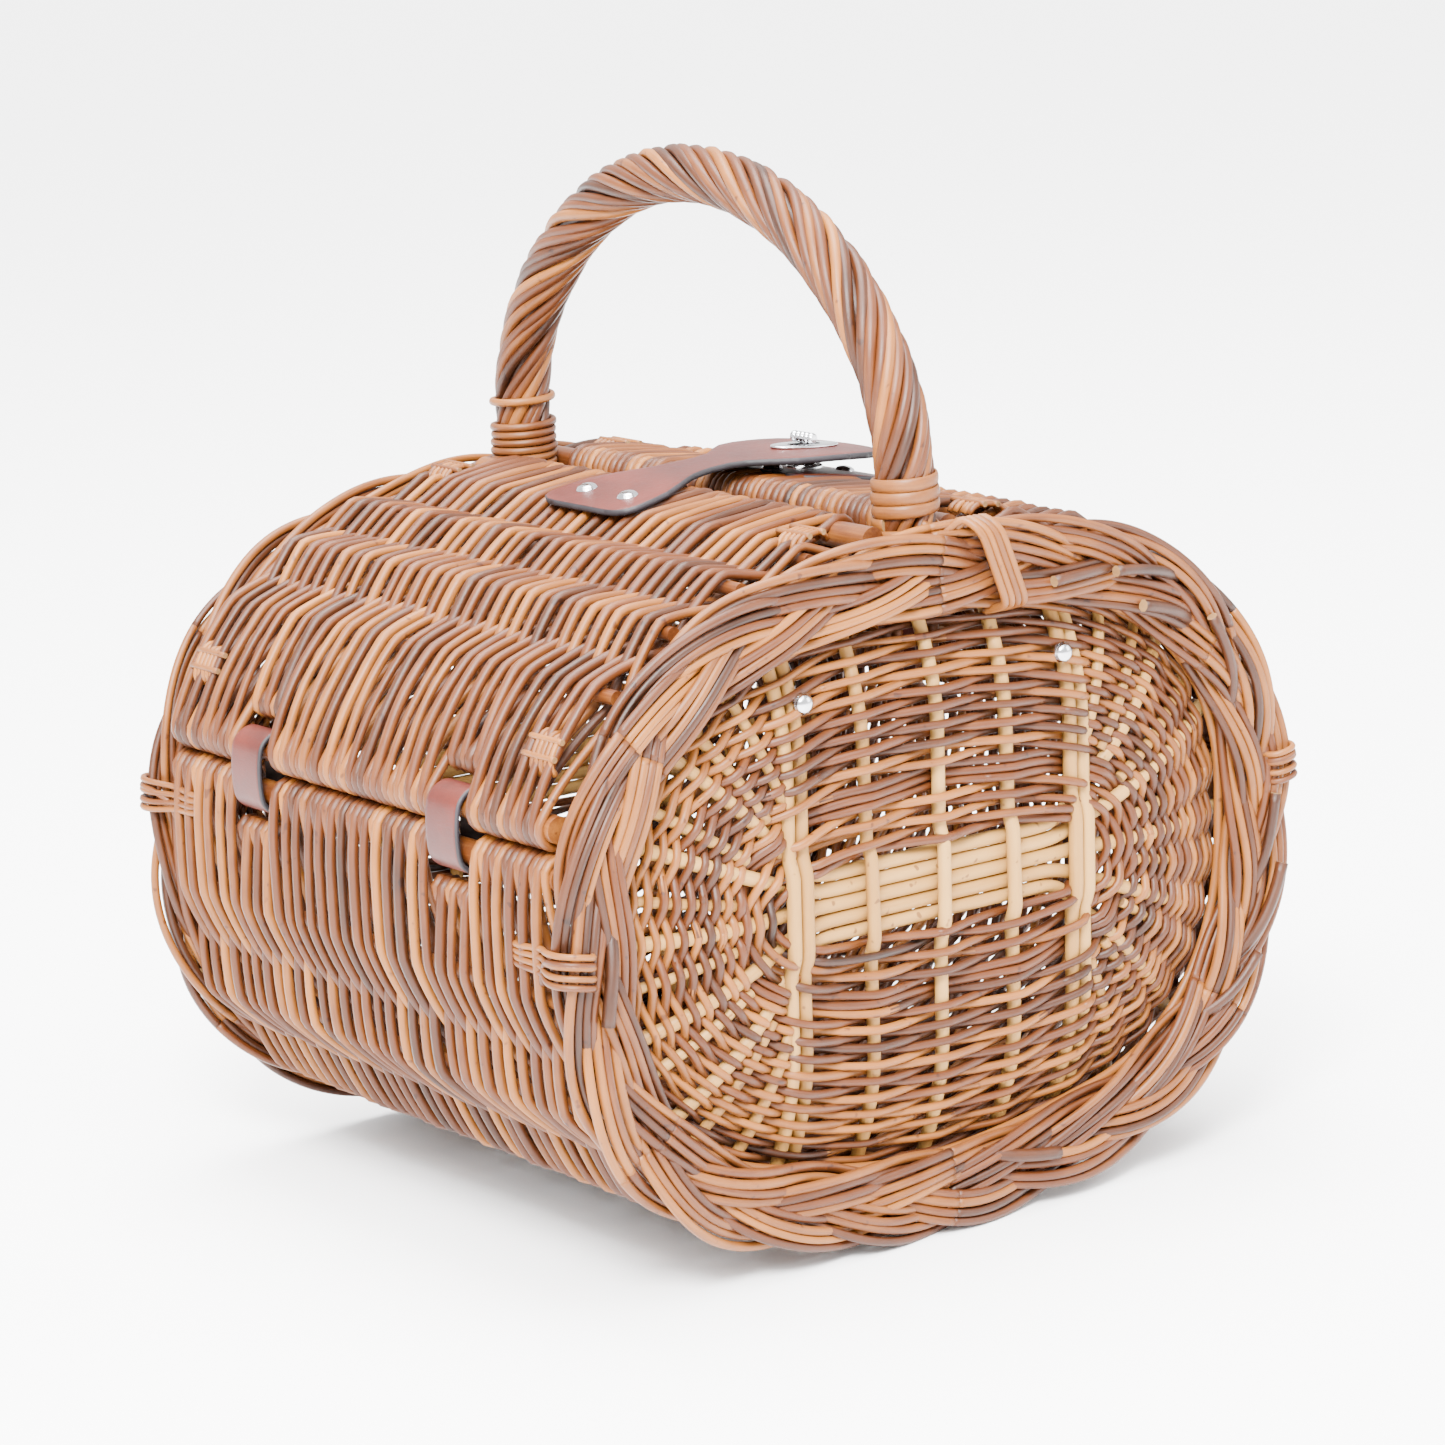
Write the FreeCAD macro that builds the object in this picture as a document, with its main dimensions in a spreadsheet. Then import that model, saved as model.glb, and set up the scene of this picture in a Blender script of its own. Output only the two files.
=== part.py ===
import FreeCAD, Part

import math
import os

from FreeCAD import Placement, Rotation, Vector

# A barrel-shaped wicker picnic basket: a woven body with domed end panels, braided borders,
# two curved lids hinged on leather loops, a fixed roped handle and a leather strap with a
# turn catch. X runs across the barrel, Y along it, Z up; the origin is on the ground under
# the middle of the basket.

doc = FreeCAD.newDocument("picnic_basket")

# ---------------------------------------------------------------- driving dimensions (mm)

DRIVING = [
    ("basket_width", 392.0),
    ("basket_height", 300.0),
    ("basket_length", 322.0),
    ("foot_sink", 0.8),
    ("crown_radius", 390.0),
    ("flank_radius", 600.0),
    ("corner_radius", 132.0),
    ("border_depth", 38.0),
    ("border_thickness", 20.0),
    ("border_round", 6.0),
    ("wall_inset", 5.0),
    ("weave_thickness", 12.0),
    ("lid_inset", 0.0),
    ("lid_end_gap", 1.0),
    ("panel_thickness", 14.0),
    ("dome_rise", 14.0),
    ("dome_flat_inset", 100.0),
    ("body_rail_height", 182.0),
    ("hinge_rail_height", 201.5),
    ("top_rail_offset", 20.0),
    ("top_rail_half_length", 137.0),
    ("rail_radius", 5.5),
    ("wrap_radius", 9.0),
    ("stick_radius", 3.0),
    ("bye_stake_radius", 2.6),
    ("body_stick_count", 11),
    ("lid_stick_count", 4),
    ("lid_stick_start", 19.0),
    ("slath_rod_count", 5),
    ("slath_rod_pitch", 6.4),
    ("slath_half_width", 82.0),
    ("slath_window_height", 34.0),
    ("stake_pitch", 38.0),
    ("stake_pair_pitch", 6.4),
    ("loop_offset", 73.0),
    ("loop_width", 22.0),
    ("loop_leather", 2.2),
    ("loop_fit", 0.05),
    ("notch_clearance", 2.6),
    ("handle_offset", 134.0),
    ("handle_radius", 12.5),
    ("handle_core_radius", 5.0),
    ("handle_shoulder", 315.0),
    ("handle_crown", 431.0),
    ("handle_corner", 95.0),
    ("handle_foot_depth", 50.0),
    ("skein_width", 5.0),
    ("skein_thickness", 1.7),
    ("tie_rod_radius", 1.6),
    ("tie_pitch", 4.0),
    ("stud_offset", 69.0),
    ("stud_height", 235.0),
    ("stud_head_radius", 4.5),
    ("stud_head_rise", 3.0),
    ("rivet_shank_radius", 1.4),
    ("rivet_head_radius", 4.3),
    ("rivet_head_rise", 2.2),
    ("strap_offset", 2.0),
    ("strap_left", 65.0),
    ("strap_right", 86.0),
    ("strap_bend", 35.0),
    ("strap_half_width", 31.0),
    ("strap_waist_half_width", 12.5),
    ("strap_leather", 2.8),
    ("strap_rivet_x", 50.0),
    ("strap_rivet_pitch", 29.0),
    ("patch_leather", 2.5),
    ("plate_x", 56.0),
    ("plate_length", 35.0),
    ("plate_width", 18.0),
    ("plate_thickness", 1.0),
    ("slot_length", 17.0),
    ("slot_width", 6.4),
    ("bar_length", 14.5),
    ("bar_radius", 2.4),
    ("stem_radius", 2.0),
]

sheet = doc.addObject("Spreadsheet::Sheet", "sizes")
for row, (alias, value) in enumerate(DRIVING, start=1):
    sheet.set(f"A{row}", alias)
    sheet.set(f"B{row}", str(value))
    sheet.setAlias(f"B{row}", alias)
doc.recompute()


def size(alias):
    """The number that the sheet holds under a name."""
    return float(sheet.get(alias))


HALF_WIDTH = size("basket_width") / 2
HALF_HEIGHT = size("basket_height") / 2
HALF_LENGTH = size("basket_length") / 2
MID_Z = HALF_HEIGHT - size("foot_sink")
BORDER_BACK = HALF_LENGTH - size("border_thickness")
PANEL_INSET = size("wall_inset") + size("weave_thickness")
PANEL_BACK = BORDER_BACK - size("panel_thickness")
LID_END = BORDER_BACK - size("lid_end_gap")
LAYER = 3.2  # a stake or rod lies this far in front of or behind the middle of the panel
BIG = 1000.0  # a cutting block larger than the basket

nodes = {}


def keep(name, item):
    """Marks a document object as a finished sub-part under its node name."""
    item.Label = name
    nodes[name] = item
    return item


def feature(name, shape):
    """A document object around a shape made by Part's own functions."""
    item = doc.addObject("Part::Feature", name)
    item.Shape = shape
    item.Placement = Placement()
    return item


# ---------------------------------------------------------------- the oval section

def corner_centre():
    """Centre of the upper right corner arc: tangent inside both the crown and the flank."""
    crown = Vector(0, 0, HALF_HEIGHT - size("crown_radius"))
    flank = Vector(HALF_WIDTH - size("flank_radius"), 0, 0)
    reach_crown = size("crown_radius") - size("corner_radius")
    reach_flank = size("flank_radius") - size("corner_radius")
    between = flank.sub(crown)
    apart = between.Length
    along = (apart ** 2 + reach_crown ** 2 - reach_flank ** 2) / (2 * apart)
    across = math.sqrt(reach_crown ** 2 - along ** 2)
    direction = between.multiply(1 / apart)
    normal = Vector(direction.z, 0, -direction.x)
    if normal.x < 0:
        normal = normal.multiply(-1)
    return crown + direction * along + normal * across


CORNER = corner_centre()
CROWN_DROP = size("crown_radius") - HALF_HEIGHT
FLANK_DROP = size("flank_radius") - HALF_WIDTH
CROWN_ANGLE = math.atan2(CORNER.z + CROWN_DROP, CORNER.x)
FLANK_ANGLE = math.atan2(CORNER.z, CORNER.x + FLANK_DROP)


def oval_wire(inset, y):
    """The basket's oval outline, moved inwards by inset, in the plane at y."""
    def arc(centre_x, centre_z, radius, start, end):
        points = []
        for angle in (start, (start + end) / 2, end):
            x = centre_x + radius * math.cos(angle)
            z = MID_Z + centre_z + radius * math.sin(angle)
            points.append(Vector(x, y, z))
        return Part.Arc(*points).toShape()

    crown = size("crown_radius") - inset
    flank = size("flank_radius") - inset
    corner = size("corner_radius") - inset
    a, b, half_turn = CROWN_ANGLE, FLANK_ANGLE, math.pi
    edges = [
        arc(0, -CROWN_DROP, crown, half_turn - a, a),
        arc(CORNER.x, CORNER.z, corner, a, b),
        arc(-FLANK_DROP, 0, flank, b, -b),
        arc(CORNER.x, -CORNER.z, corner, -b, -a),
        arc(0, CROWN_DROP, crown, -a, a - half_turn),
        arc(-CORNER.x, -CORNER.z, corner, a - half_turn, b - half_turn),
        arc(FLANK_DROP, 0, flank, half_turn + b, half_turn - b),
        arc(-CORNER.x, CORNER.z, corner, half_turn - b, half_turn - a),
    ]
    return Part.Wire(edges)


def prism(inset, y_low, y_high):
    """The oval outline as a solid between two planes across the barrel."""
    return Part.Face(oval_wire(inset, y_low)).extrude(Vector(0, y_high - y_low, 0))


def block(x_low, x_high, y_low, y_high, z_low, z_high):
    corner = Vector(x_low, y_low, z_low)
    return Part.makeBox(x_high - x_low, y_high - y_low, z_high - z_low, corner)


def oval_z(inset, x):
    """Height above the barrel's axis of the inset oval at x, on the upper half."""
    crown = size("crown_radius") - inset
    corner = size("corner_radius") - inset
    seam = CORNER.x + corner * math.cos(CROWN_ANGLE)
    if abs(x) <= seam:
        return math.sqrt(crown ** 2 - x ** 2) - CROWN_DROP
    return CORNER.z + math.sqrt(max(corner ** 2 - (abs(x) - CORNER.x) ** 2, 0))


def oval_x(inset, height):
    """Half width of the inset oval at a height above the barrel's axis, near its middle."""
    corner = size("corner_radius") - inset
    flank = size("flank_radius") - inset
    if abs(height) <= flank * math.sin(FLANK_ANGLE):
        return math.sqrt(flank ** 2 - height ** 2) - FLANK_DROP
    return CORNER.x + math.sqrt(corner ** 2 - (abs(height) - CORNER.z) ** 2)


def oval_inset(x, height):
    """How far a point of the section lies inside the outer oval."""
    x, height = abs(x), abs(height)
    from_corner = Vector(x - CORNER.x, 0, height - CORNER.z)
    angle = math.atan2(from_corner.z, from_corner.x)
    if from_corner.x <= 0 or angle > CROWN_ANGLE:
        return size("crown_radius") - math.hypot(x, height + CROWN_DROP)
    if angle < FLANK_ANGLE:
        return size("flank_radius") - math.hypot(x + FLANK_DROP, height)
    return size("corner_radius") - from_corner.Length


# ---------------------------------------------------------------- rods and bent rods

def rod_along_y(name, radius, x, z, half_length):
    """A straight rod along the barrel; radius is the name of a cell."""
    rod = doc.addObject("Part::Cylinder", name)
    rod.setExpression("Radius", f"sizes.{radius}")
    rod.Height = 2 * half_length
    rod.Placement = Placement(Vector(x, -half_length, z), Rotation(Vector(1, 0, 0), -90))
    return rod


def upright_rod(name, radius, height, x, y, z):
    """A straight upright rod; radius and height are names of cells."""
    rod = doc.addObject("Part::Cylinder", name)
    rod.setExpression("Radius", f"sizes.{radius}")
    rod.setExpression("Height", f"sizes.{height}")
    rod.Placement = Placement(Vector(x, y, z), Rotation())
    return rod


def bundle(name, members):
    """Separate solids that share one node."""
    group = doc.addObject("Part::Compound", name)
    group.Links = members
    return keep(name, group)


def smooth_path(points, bend):
    """Straight runs through the points, joined by tangent arcs of radius bend."""
    edges = []
    start = points[0]
    for before, corner, after in zip(points, points[1:], points[2:]):
        back = (before - corner).normalize()
        onward = (after - corner).normalize()
        half = back.getAngle(onward) / 2
        reach = bend / math.tan(half)
        middle = (back + onward).normalize()
        arc_start = corner + back * reach
        arc_end = corner + onward * reach
        arc_middle = corner + middle * (bend / math.sin(half) - bend)
        edges.append(Part.makeLine(start, arc_start))
        edges.append(Part.Arc(arc_start, arc_middle, arc_end).toShape())
        start = arc_end
    edges.append(Part.makeLine(start, points[-1]))
    return Part.Wire(edges)


def bent_rod(points, radius, bend):
    """A round rod along a smooth path."""
    path = smooth_path(points, bend)
    ring = Part.makeCircle(radius, points[0], points[1] - points[0])
    return path.makePipeShell([Part.Wire(ring)], True, False)


# ---------------------------------------------------------------- rails

BODY_RAIL_X = oval_x(size("wall_inset") + size("weave_thickness") / 2,
                     size("body_rail_height") - MID_Z)
HINGE_X = oval_x(size("lid_inset") + size("weave_thickness") / 2,
                 size("hinge_rail_height") - MID_Z)
TOP_RAIL_Z = MID_Z + oval_z(size("lid_inset") + size("weave_thickness") / 2,
                            size("top_rail_offset"))
WRAP_END = (size("handle_offset") - size("handle_radius") - size("skein_thickness")
            - size("notch_clearance"))

SIDES = (("left", -1), ("right", 1))
ENDS = (("front", -1), ("back", 1))

for side, way in SIDES:
    keep(f"body_rail_{side}", rod_along_y(
        f"body_rail_{side}", "rail_radius", way * BODY_RAIL_X, size("body_rail_height"),
        BORDER_BACK))
    keep(f"lid_hinge_rail_{side}", rod_along_y(
        f"lid_hinge_rail_{side}", "rail_radius", way * HINGE_X, size("hinge_rail_height"),
        LID_END))
    keep(f"lid_top_rail_{side}", rod_along_y(
        f"lid_top_rail_{side}", "rail_radius", way * size("top_rail_offset"), TOP_RAIL_Z,
        size("top_rail_half_length")))


# ---------------------------------------------------------------- sticks of body and lids

def spaced_along_oval(inset, start, end, count, short_way):
    """count points, evenly spaced between start and end along the inset oval."""
    loop = oval_wire(inset, 0).discretize(Number=1441)[:-1]

    def nearest(point):
        return min(range(len(loop)), key=lambda k: (loop[k] - point).Length)

    first, last = nearest(start), nearest(end)
    forward = [loop[(first + k) % len(loop)] for k in range((last - first) % len(loop) + 1)]
    backward = [loop[(first - k) % len(loop)] for k in range((first - last) % len(loop) + 1)]
    short, long = sorted((forward, backward), key=len)
    route = short if short_way else long
    step = (len(route) - 1) / (count + 1)
    return [route[round(step * (k + 1))] for k in range(count)]


def body_sticks():
    """Sticks of the body, from one body rail under the basket to the other."""
    middle = size("wall_inset") + size("weave_thickness") / 2
    left = Vector(-BODY_RAIL_X, 0, size("body_rail_height"))
    right = Vector(BODY_RAIL_X, 0, size("body_rail_height"))
    places = spaced_along_oval(middle, left, right, int(size("body_stick_count")), False)
    return [rod_along_y(f"body_stick_{k + 1}", "stick_radius", p.x, p.z, BORDER_BACK)
            for k, p in enumerate(places)]


def lid_sticks(side, way):
    """Sticks of one lid, evenly spaced from a little above its hinge rail to its top rail."""
    middle = size("lid_inset") + size("weave_thickness") / 2
    start_z = size("hinge_rail_height") + size("lid_stick_start")
    start = Vector(-oval_x(middle, start_z - MID_Z), 0, start_z)
    top = Vector(-size("top_rail_offset"), 0, TOP_RAIL_Z)
    places = spaced_along_oval(middle, start, top, int(size("lid_stick_count")), True)
    return [rod_along_y(f"lid_{side}_stick_{k + 1}", "stick_radius", -way * p.x, p.z, LID_END)
            for k, p in enumerate(places)]


bundle("body_sticks", body_sticks())
for side, way in SIDES:
    bundle(f"lid_sticks_{side}", lid_sticks(side, way))


# ---------------------------------------------------------------- rods of the end panels

def dome_y(x, height):
    """Middle of the end panel's thickness at a point of the section, as a distance along Y."""
    inset = oval_inset(x, height)
    low, high = size("border_depth"), size("dome_flat_inset")
    share = min(max((inset - low) / (high - low), 0), 1)
    return BORDER_BACK - size("panel_thickness") / 2 + size("dome_rise") * share


def domed_point(x, height, end, layer):
    """A point of a rod in the panel; layer is +1 for the outer rods and -1 for the inner."""
    return Vector(x, end * (dome_y(x, height) + layer * LAYER), MID_Z + height)


RIM_INSET = PANEL_INSET + 3.0
DOME_BEND = 30.0
FAN_BEND = 22.0


def upright_stakes(end):
    """The stakes that stand in front of the slath rods and run from rim to rim."""
    pitch, pair = size("stake_pitch"), size("stake_pair_pitch") / 2
    places = [-pitch, 0.0, pitch]
    places += [way * (2 * pitch - 1 + off) for way in (-1, 1) for off in (-pair, pair)]
    rods = []
    for x in sorted(places):
        heights = [oval_z(RIM_INSET, x), oval_z(size("border_depth"), x),
                   oval_z(size("dome_flat_inset"), x)]
        route = heights + [-value for value in reversed(heights)]
        points = [domed_point(x, value, end, 1) for value in route]
        rods.append(bent_rod(points, size("stick_radius"), DOME_BEND))
    return rods


def towards_rim(x, height, angle, inset):
    """Where a ray from a point of the section meets the inset oval."""
    low, high = 0.0, 400.0
    for _ in range(60):
        middle = (low + high) / 2
        inside = oval_inset(x + middle * math.cos(angle), height + middle * math.sin(angle))
        if inside > inset:
            low = middle
        else:
            high = middle
    return x + low * math.cos(angle), height + low * math.sin(angle)


FAN_START = 66.0
FAN_STEP = math.radians(22.0)


def slath_rods(end):
    """The rods of the slath: side by side in the middle, fanned out at both ends."""
    count = int(size("slath_rod_count"))
    rods = []
    for k in range(count):
        rank = k - (count - 1) / 2
        height = rank * size("slath_rod_pitch")
        half_route = []
        for inset in (RIM_INSET, size("border_depth"), size("dome_flat_inset") - 3):
            x, z = towards_rim(FAN_START, height, rank * FAN_STEP, inset)
            half_route.append((x, z))
        half_route.append((FAN_START, height))
        route = half_route + [(-x, z) for x, z in reversed(half_route)]
        points = [domed_point(x, z, end, -1) for x, z in route]
        rods.append(bent_rod(points, size("stick_radius"), FAN_BEND))
    return rods


def cut_all(solid, tools):
    for tool in tools:
        solid = solid.cut(tool)
    return solid


def bye_stakes(place, end):
    """Extra stakes pushed in between the fanned rods, each shaved flat where it meets one."""
    fanned = nodes[f"slath_rods_{place}"].Shape.Solids
    rods = []
    for way in (-1, 1):
        for step in (-3.15, -2.5, -1.5, -0.5, 0.5, 1.5, 2.5, 3.15):
            angle = step * FAN_STEP
            reach = 36.0
            start = (FAN_START + reach * math.cos(angle), reach * math.sin(angle))
            route = [towards_rim(*start, angle, RIM_INSET),
                     towards_rim(*start, angle, size("border_depth")), start]
            points = [domed_point(way * x, z, end, -1) for x, z in route]
            rod = cut_all(bent_rod(points, size("bye_stake_radius"), DOME_BEND), fanned)
            rods.append(max(rod.Solids, key=lambda piece: piece.Volume))
    return rods


def rod_group(name, rods):
    return keep(name, feature(name, Part.makeCompound(rods)))


for place, end in ENDS:
    rod_group(f"upright_stakes_{place}", upright_stakes(end))
    rod_group(f"slath_rods_{place}", slath_rods(end))
    rod_group(f"bye_stakes_{place}", bye_stakes(place, end))


# ---------------------------------------------------------------- handle

HANDLE_FOOT_Z = MID_Z + HALF_HEIGHT - PANEL_INSET + 0.1


def handle_path(x, foot):
    """The handle's centre line: two upright legs, two shoulder arcs and a crown arc."""
    span, shoulder = size("handle_offset"), size("handle_shoulder")
    corner, rise = size("handle_corner"), size("handle_crown") - size("handle_shoulder")
    offset = span - corner
    crown = (offset ** 2 + rise ** 2 - corner ** 2) / (2 * (rise - corner))
    crown_z = size("handle_crown") - crown
    tangent = math.atan2(shoulder - crown_z, offset)

    def on_arc(centre_y, centre_z, radius, angle):
        return Vector(x, centre_y + radius * math.cos(angle), centre_z + radius * math.sin(angle))

    right = [on_arc(offset, shoulder, corner, share * tangent) for share in (0, 0.5, 1)]
    top = [on_arc(0, crown_z, crown, angle)
           for angle in (tangent, math.pi / 2, math.pi - tangent)]
    left = [Vector(p.x, -p.y, p.z) for p in reversed(right)]
    edges = [
        Part.makeLine(Vector(x, span, foot), right[0]),
        Part.Arc(*right).toShape(),
        Part.Arc(*top).toShape(),
        Part.Arc(*left).toShape(),
        Part.makeLine(left[-1], Vector(x, -span, foot)),
    ]
    return Part.Wire(edges)


def handle_pipe(radius):
    path = handle_path(0, HANDLE_FOOT_Z)
    foot = Vector(0, size("handle_offset"), HANDLE_FOOT_Z)
    ring = Part.makeCircle(radius, foot, Vector(0, 0, 1))
    return path.makePipeShell([Part.Wire(ring)], True, False)


core_shape = handle_pipe(size("handle_core_radius"))
keep("handle_core", feature("handle_core", core_shape))
rope_shape = handle_pipe(size("handle_radius")).cut(core_shape)
keep("handle_rope", feature("handle_rope", rope_shape))

HANDLE_END_PLACES = (-12.6, -6.4, 6.4, 12.6)
handle_ends = []
for place, end in ENDS:
    for k, x in enumerate(HANDLE_END_PLACES):
        handle_ends.append(upright_rod(
            f"handle_end_{place}_{k + 1}", "bye_stake_radius", "handle_foot_depth",
            x, end * size("handle_offset"), HANDLE_FOOT_Z - size("handle_foot_depth")))
bundle("handle_ends", handle_ends)


def skein_turn(name, y, z):
    """One flat turn of split willow round a leg of the handle."""
    outer = doc.addObject("Part::Cylinder", f"{name}_outer")
    outer.setExpression("Radius", "sizes.handle_radius + sizes.skein_thickness")
    outer.setExpression("Height", "sizes.skein_width")
    inner = doc.addObject("Part::Cylinder", f"{name}_inner")
    inner.setExpression("Radius", "sizes.handle_radius")
    inner.setExpression("Height", "sizes.skein_width")
    turn = doc.addObject("Part::Cut", name)
    turn.Base = outer
    turn.Tool = inner
    turn.Placement = Placement(Vector(0, y, z), Rotation())
    return turn


BINDING_TURNS = {"front": (0, 1, 2, 4, 5), "back": (0, 1, 2, 3, 4, 5)}
for place, end in ENDS:
    turns = []
    for k in BINDING_TURNS[place]:
        z = HANDLE_FOOT_Z + 1.0 + k * (size("skein_width") + 0.4)
        turns.append(skein_turn(f"binding_{place}_turn_{k}", end * size("handle_offset"), z))
    bundle(f"handle_binding_{place}", turns)


# ---------------------------------------------------------------- leather hinge loops

def loop_section(radius, y):
    """A flat loop round a body rail and a hinge rail, as a closed outline at y."""
    low = Vector(BODY_RAIL_X, y, size("body_rail_height"))
    high = Vector(HINGE_X, y, size("hinge_rail_height"))
    along = (high - low).normalize()
    across = Vector(along.z, 0, -along.x)
    edges = [
        Part.makeLine(low + across * radius, high + across * radius),
        Part.Arc(high + across * radius, high + along * radius, high - across * radius).toShape(),
        Part.makeLine(high - across * radius, low - across * radius),
        Part.Arc(low - across * radius, low - along * radius, low + across * radius).toShape(),
    ]
    return Part.Face(Part.Wire(edges))


def hinge_loop(way, centre_y):
    half = size("loop_width") / 2
    inner = size("rail_radius") + size("loop_fit")
    outer = inner + size("loop_leather")
    ring = loop_section(outer, centre_y - half).cut(loop_section(inner, centre_y - half))
    solid = ring.extrude(Vector(0, 2 * half, 0))
    if way < 0:
        solid = solid.mirror(Vector(0, 0, 0), Vector(1, 0, 0))
    return solid


for side, way in SIDES:
    for place, end in ENDS:
        name = f"hinge_loop_{side}_{place}"
        keep(name, feature(name, hinge_loop(way, end * size("loop_offset"))))


# ---------------------------------------------------------------- strap, patch and catch

STRAP_Y = size("strap_offset")
STRAP_LOW = (Vector(-66, 0, 294.8), Vector(10, 0, 305.1), Vector(87, 0, 301.4))


STRAP_CIRCLE = Part.Arc(*STRAP_LOW).toShape().Curve
STRAP_CENTRE, STRAP_RADIUS = STRAP_CIRCLE.Center, STRAP_CIRCLE.Radius


def strap_curve(lift):
    """The strap's lower face, raised by lift along its own radius."""
    radius = STRAP_RADIUS + lift
    points = [STRAP_CENTRE + (p - STRAP_CENTRE).normalize() * radius for p in STRAP_LOW]
    return Part.Arc(*points)


def strap_layer(low, high):
    """A curved strip between two lifts above the strap's lower face, wide along Y."""
    under, over = strap_curve(low), strap_curve(high)
    edges = [
        under.toShape(),
        Part.makeLine(under.toShape().Vertexes[-1].Point, over.toShape().Vertexes[-1].Point),
        over.toShape(),
        Part.makeLine(over.toShape().Vertexes[0].Point, under.toShape().Vertexes[0].Point),
    ]
    face = Part.Face(Part.Wire(Part.__sortEdges__(edges)))
    face.translate(Vector(0, STRAP_Y - 50, 0))
    return face.extrude(Vector(0, 100, 0))


def strap_outline():
    """The strap from above: a broad riveted end, a waist and a flared, rounded tongue."""
    wide, waist = size("strap_half_width"), size("strap_waist_half_width")
    left, right = -size("strap_left"), size("strap_right")
    side = [
        Vector(left + 7, wide, 0),
        Vector(left + 19, wide - 1, 0),
        Vector(left + 34, wide - 6, 0),
        Vector(left + 50, waist + 3, 0),
        Vector(left + 68, waist, 0),
        Vector(right - 72, waist + 3, 0),
        Vector(right - 60, wide - 6, 0),
        Vector(right - 45, wide, 0),
        Vector(right - 24, wide + 1, 0),
        Vector(right - 8, wide - 3, 0),
    ]
    upper = Part.BSplineCurve()
    upper.interpolate(side)
    lower = Part.BSplineCurve()
    lower.interpolate([Vector(p.x, -p.y, 0) for p in side])
    round_off = 5.0
    edges = [
        upper.toShape(),
        Part.Arc(side[-1], Vector(right, 0, 0), Vector(side[-1].x, -side[-1].y, 0)).toShape(),
        lower.toShape(),
        Part.Arc(side[0], Vector(left + 2, wide - round_off + 3, 0),
                 Vector(left, wide - 7, 0)).toShape(),
        Part.makeLine(Vector(left, wide - 7, 0), Vector(left, 7 - wide, 0)),
        Part.Arc(Vector(side[0].x, -side[0].y, 0), Vector(left + 2, round_off - 3 - wide, 0),
                 Vector(left, 7 - wide, 0)).toShape(),
    ]
    face = Part.Face(Part.Wire(Part.__sortEdges__(edges)))
    face.translate(Vector(0, STRAP_Y, 200))
    return face.extrude(Vector(0, 0, 200))


def slot_tool(length, width):
    """A slot along X with round ends, through the strap and its plate."""
    reach = (length - width) / 2
    x = size("plate_x")
    solid = block(x - reach, x + reach, STRAP_Y - width / 2, STRAP_Y + width / 2, 200, 400)
    for way in (-1, 1):
        end = Part.makeCylinder(width / 2, 200, Vector(x + way * reach, STRAP_Y, 200))
        solid = solid.fuse(end)
    return solid.removeSplitter()


def above_strap(x):
    """Height of the strap's lower face at x."""
    return STRAP_CENTRE.z + math.sqrt(STRAP_RADIUS ** 2 - (x - STRAP_CENTRE.x) ** 2)


def strap_normal(x):
    return Vector(x - STRAP_CENTRE.x, 0, above_strap(x) - STRAP_CENTRE.z).normalize()


def rivet(point, normal, length):
    """A domed head on a shank, with the small washer that it is closed over."""
    head = Part.makeSphere(size("rivet_head_radius"), Vector(), Vector(0, 0, 1), 0, 90, 360)
    squash = FreeCAD.Matrix()
    squash.scale(1, 1, size("rivet_head_rise") / size("rivet_head_radius"))
    head = head.transformGeometry(squash)
    shank = Part.makeCylinder(size("rivet_shank_radius"), length, Vector(0, 0, -length))
    body = head.fuse(shank)
    washer = Part.makeCylinder(3.6, 1.0, Vector(0, 0, -length))
    washer = washer.cut(shank)
    turn = Placement(point, Rotation(Vector(0, 0, 1), normal))
    for item in (body, washer, shank):
        item.Placement = turn
    return body, washer, shank


def strap_rivets():
    parts, shanks = [], []
    x = -size("strap_rivet_x")
    for way in (-1, 1):
        foot = Vector(x, STRAP_Y + way * size("strap_rivet_pitch") / 2, above_strap(x))
        normal = strap_normal(x)
        length = size("strap_leather") + size("weave_thickness") + 3.5
        body, washer, shank = rivet(foot + normal * size("strap_leather"), normal, length)
        parts += [body, washer]
        shanks.append(shank)
    return parts, shanks


strap_rivet_parts, strap_shanks = strap_rivets()
strap_solid = strap_layer(0, size("strap_leather")).common(strap_outline())
strap_solid = strap_solid.cut(slot_tool(size("slot_length") + 3, size("slot_width") + 3))
for shank in strap_shanks:
    strap_solid = strap_solid.cut(shank)
BEND_GAP = 0.3
bend_x = -size("strap_bend")
anchor = strap_solid.common(block(-BIG, bend_x - BEND_GAP, -BIG, BIG, 0, BIG))
tongue = strap_solid.common(block(bend_x, BIG, -BIG, BIG, 0, BIG))
keep("strap_anchor", feature("strap_anchor", anchor))
keep("strap_tongue", feature("strap_tongue", tongue))
rod_group("strap_rivets", strap_rivet_parts)


def oval_prism(length, width, x):
    """An upright prism with an elliptical outline, centred on the strap."""
    ellipse = Part.Ellipse(Vector(x, STRAP_Y, 200), length / 2, width / 2)
    return Part.Face(Part.Wire(ellipse.toShape())).extrude(Vector(0, 0, 200))


leather = size("strap_leather")
plate = strap_layer(leather, leather + size("plate_thickness"))
plate = plate.common(oval_prism(size("plate_length"), size("plate_width"), size("plate_x")))
plate = plate.cut(slot_tool(size("slot_length"), size("slot_width")))
keep("strap_plate", feature("strap_plate", plate))

PATCH_LEFT, PATCH_RIGHT, PATCH_HALF = 31.0, 94.0, 31.0


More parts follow.
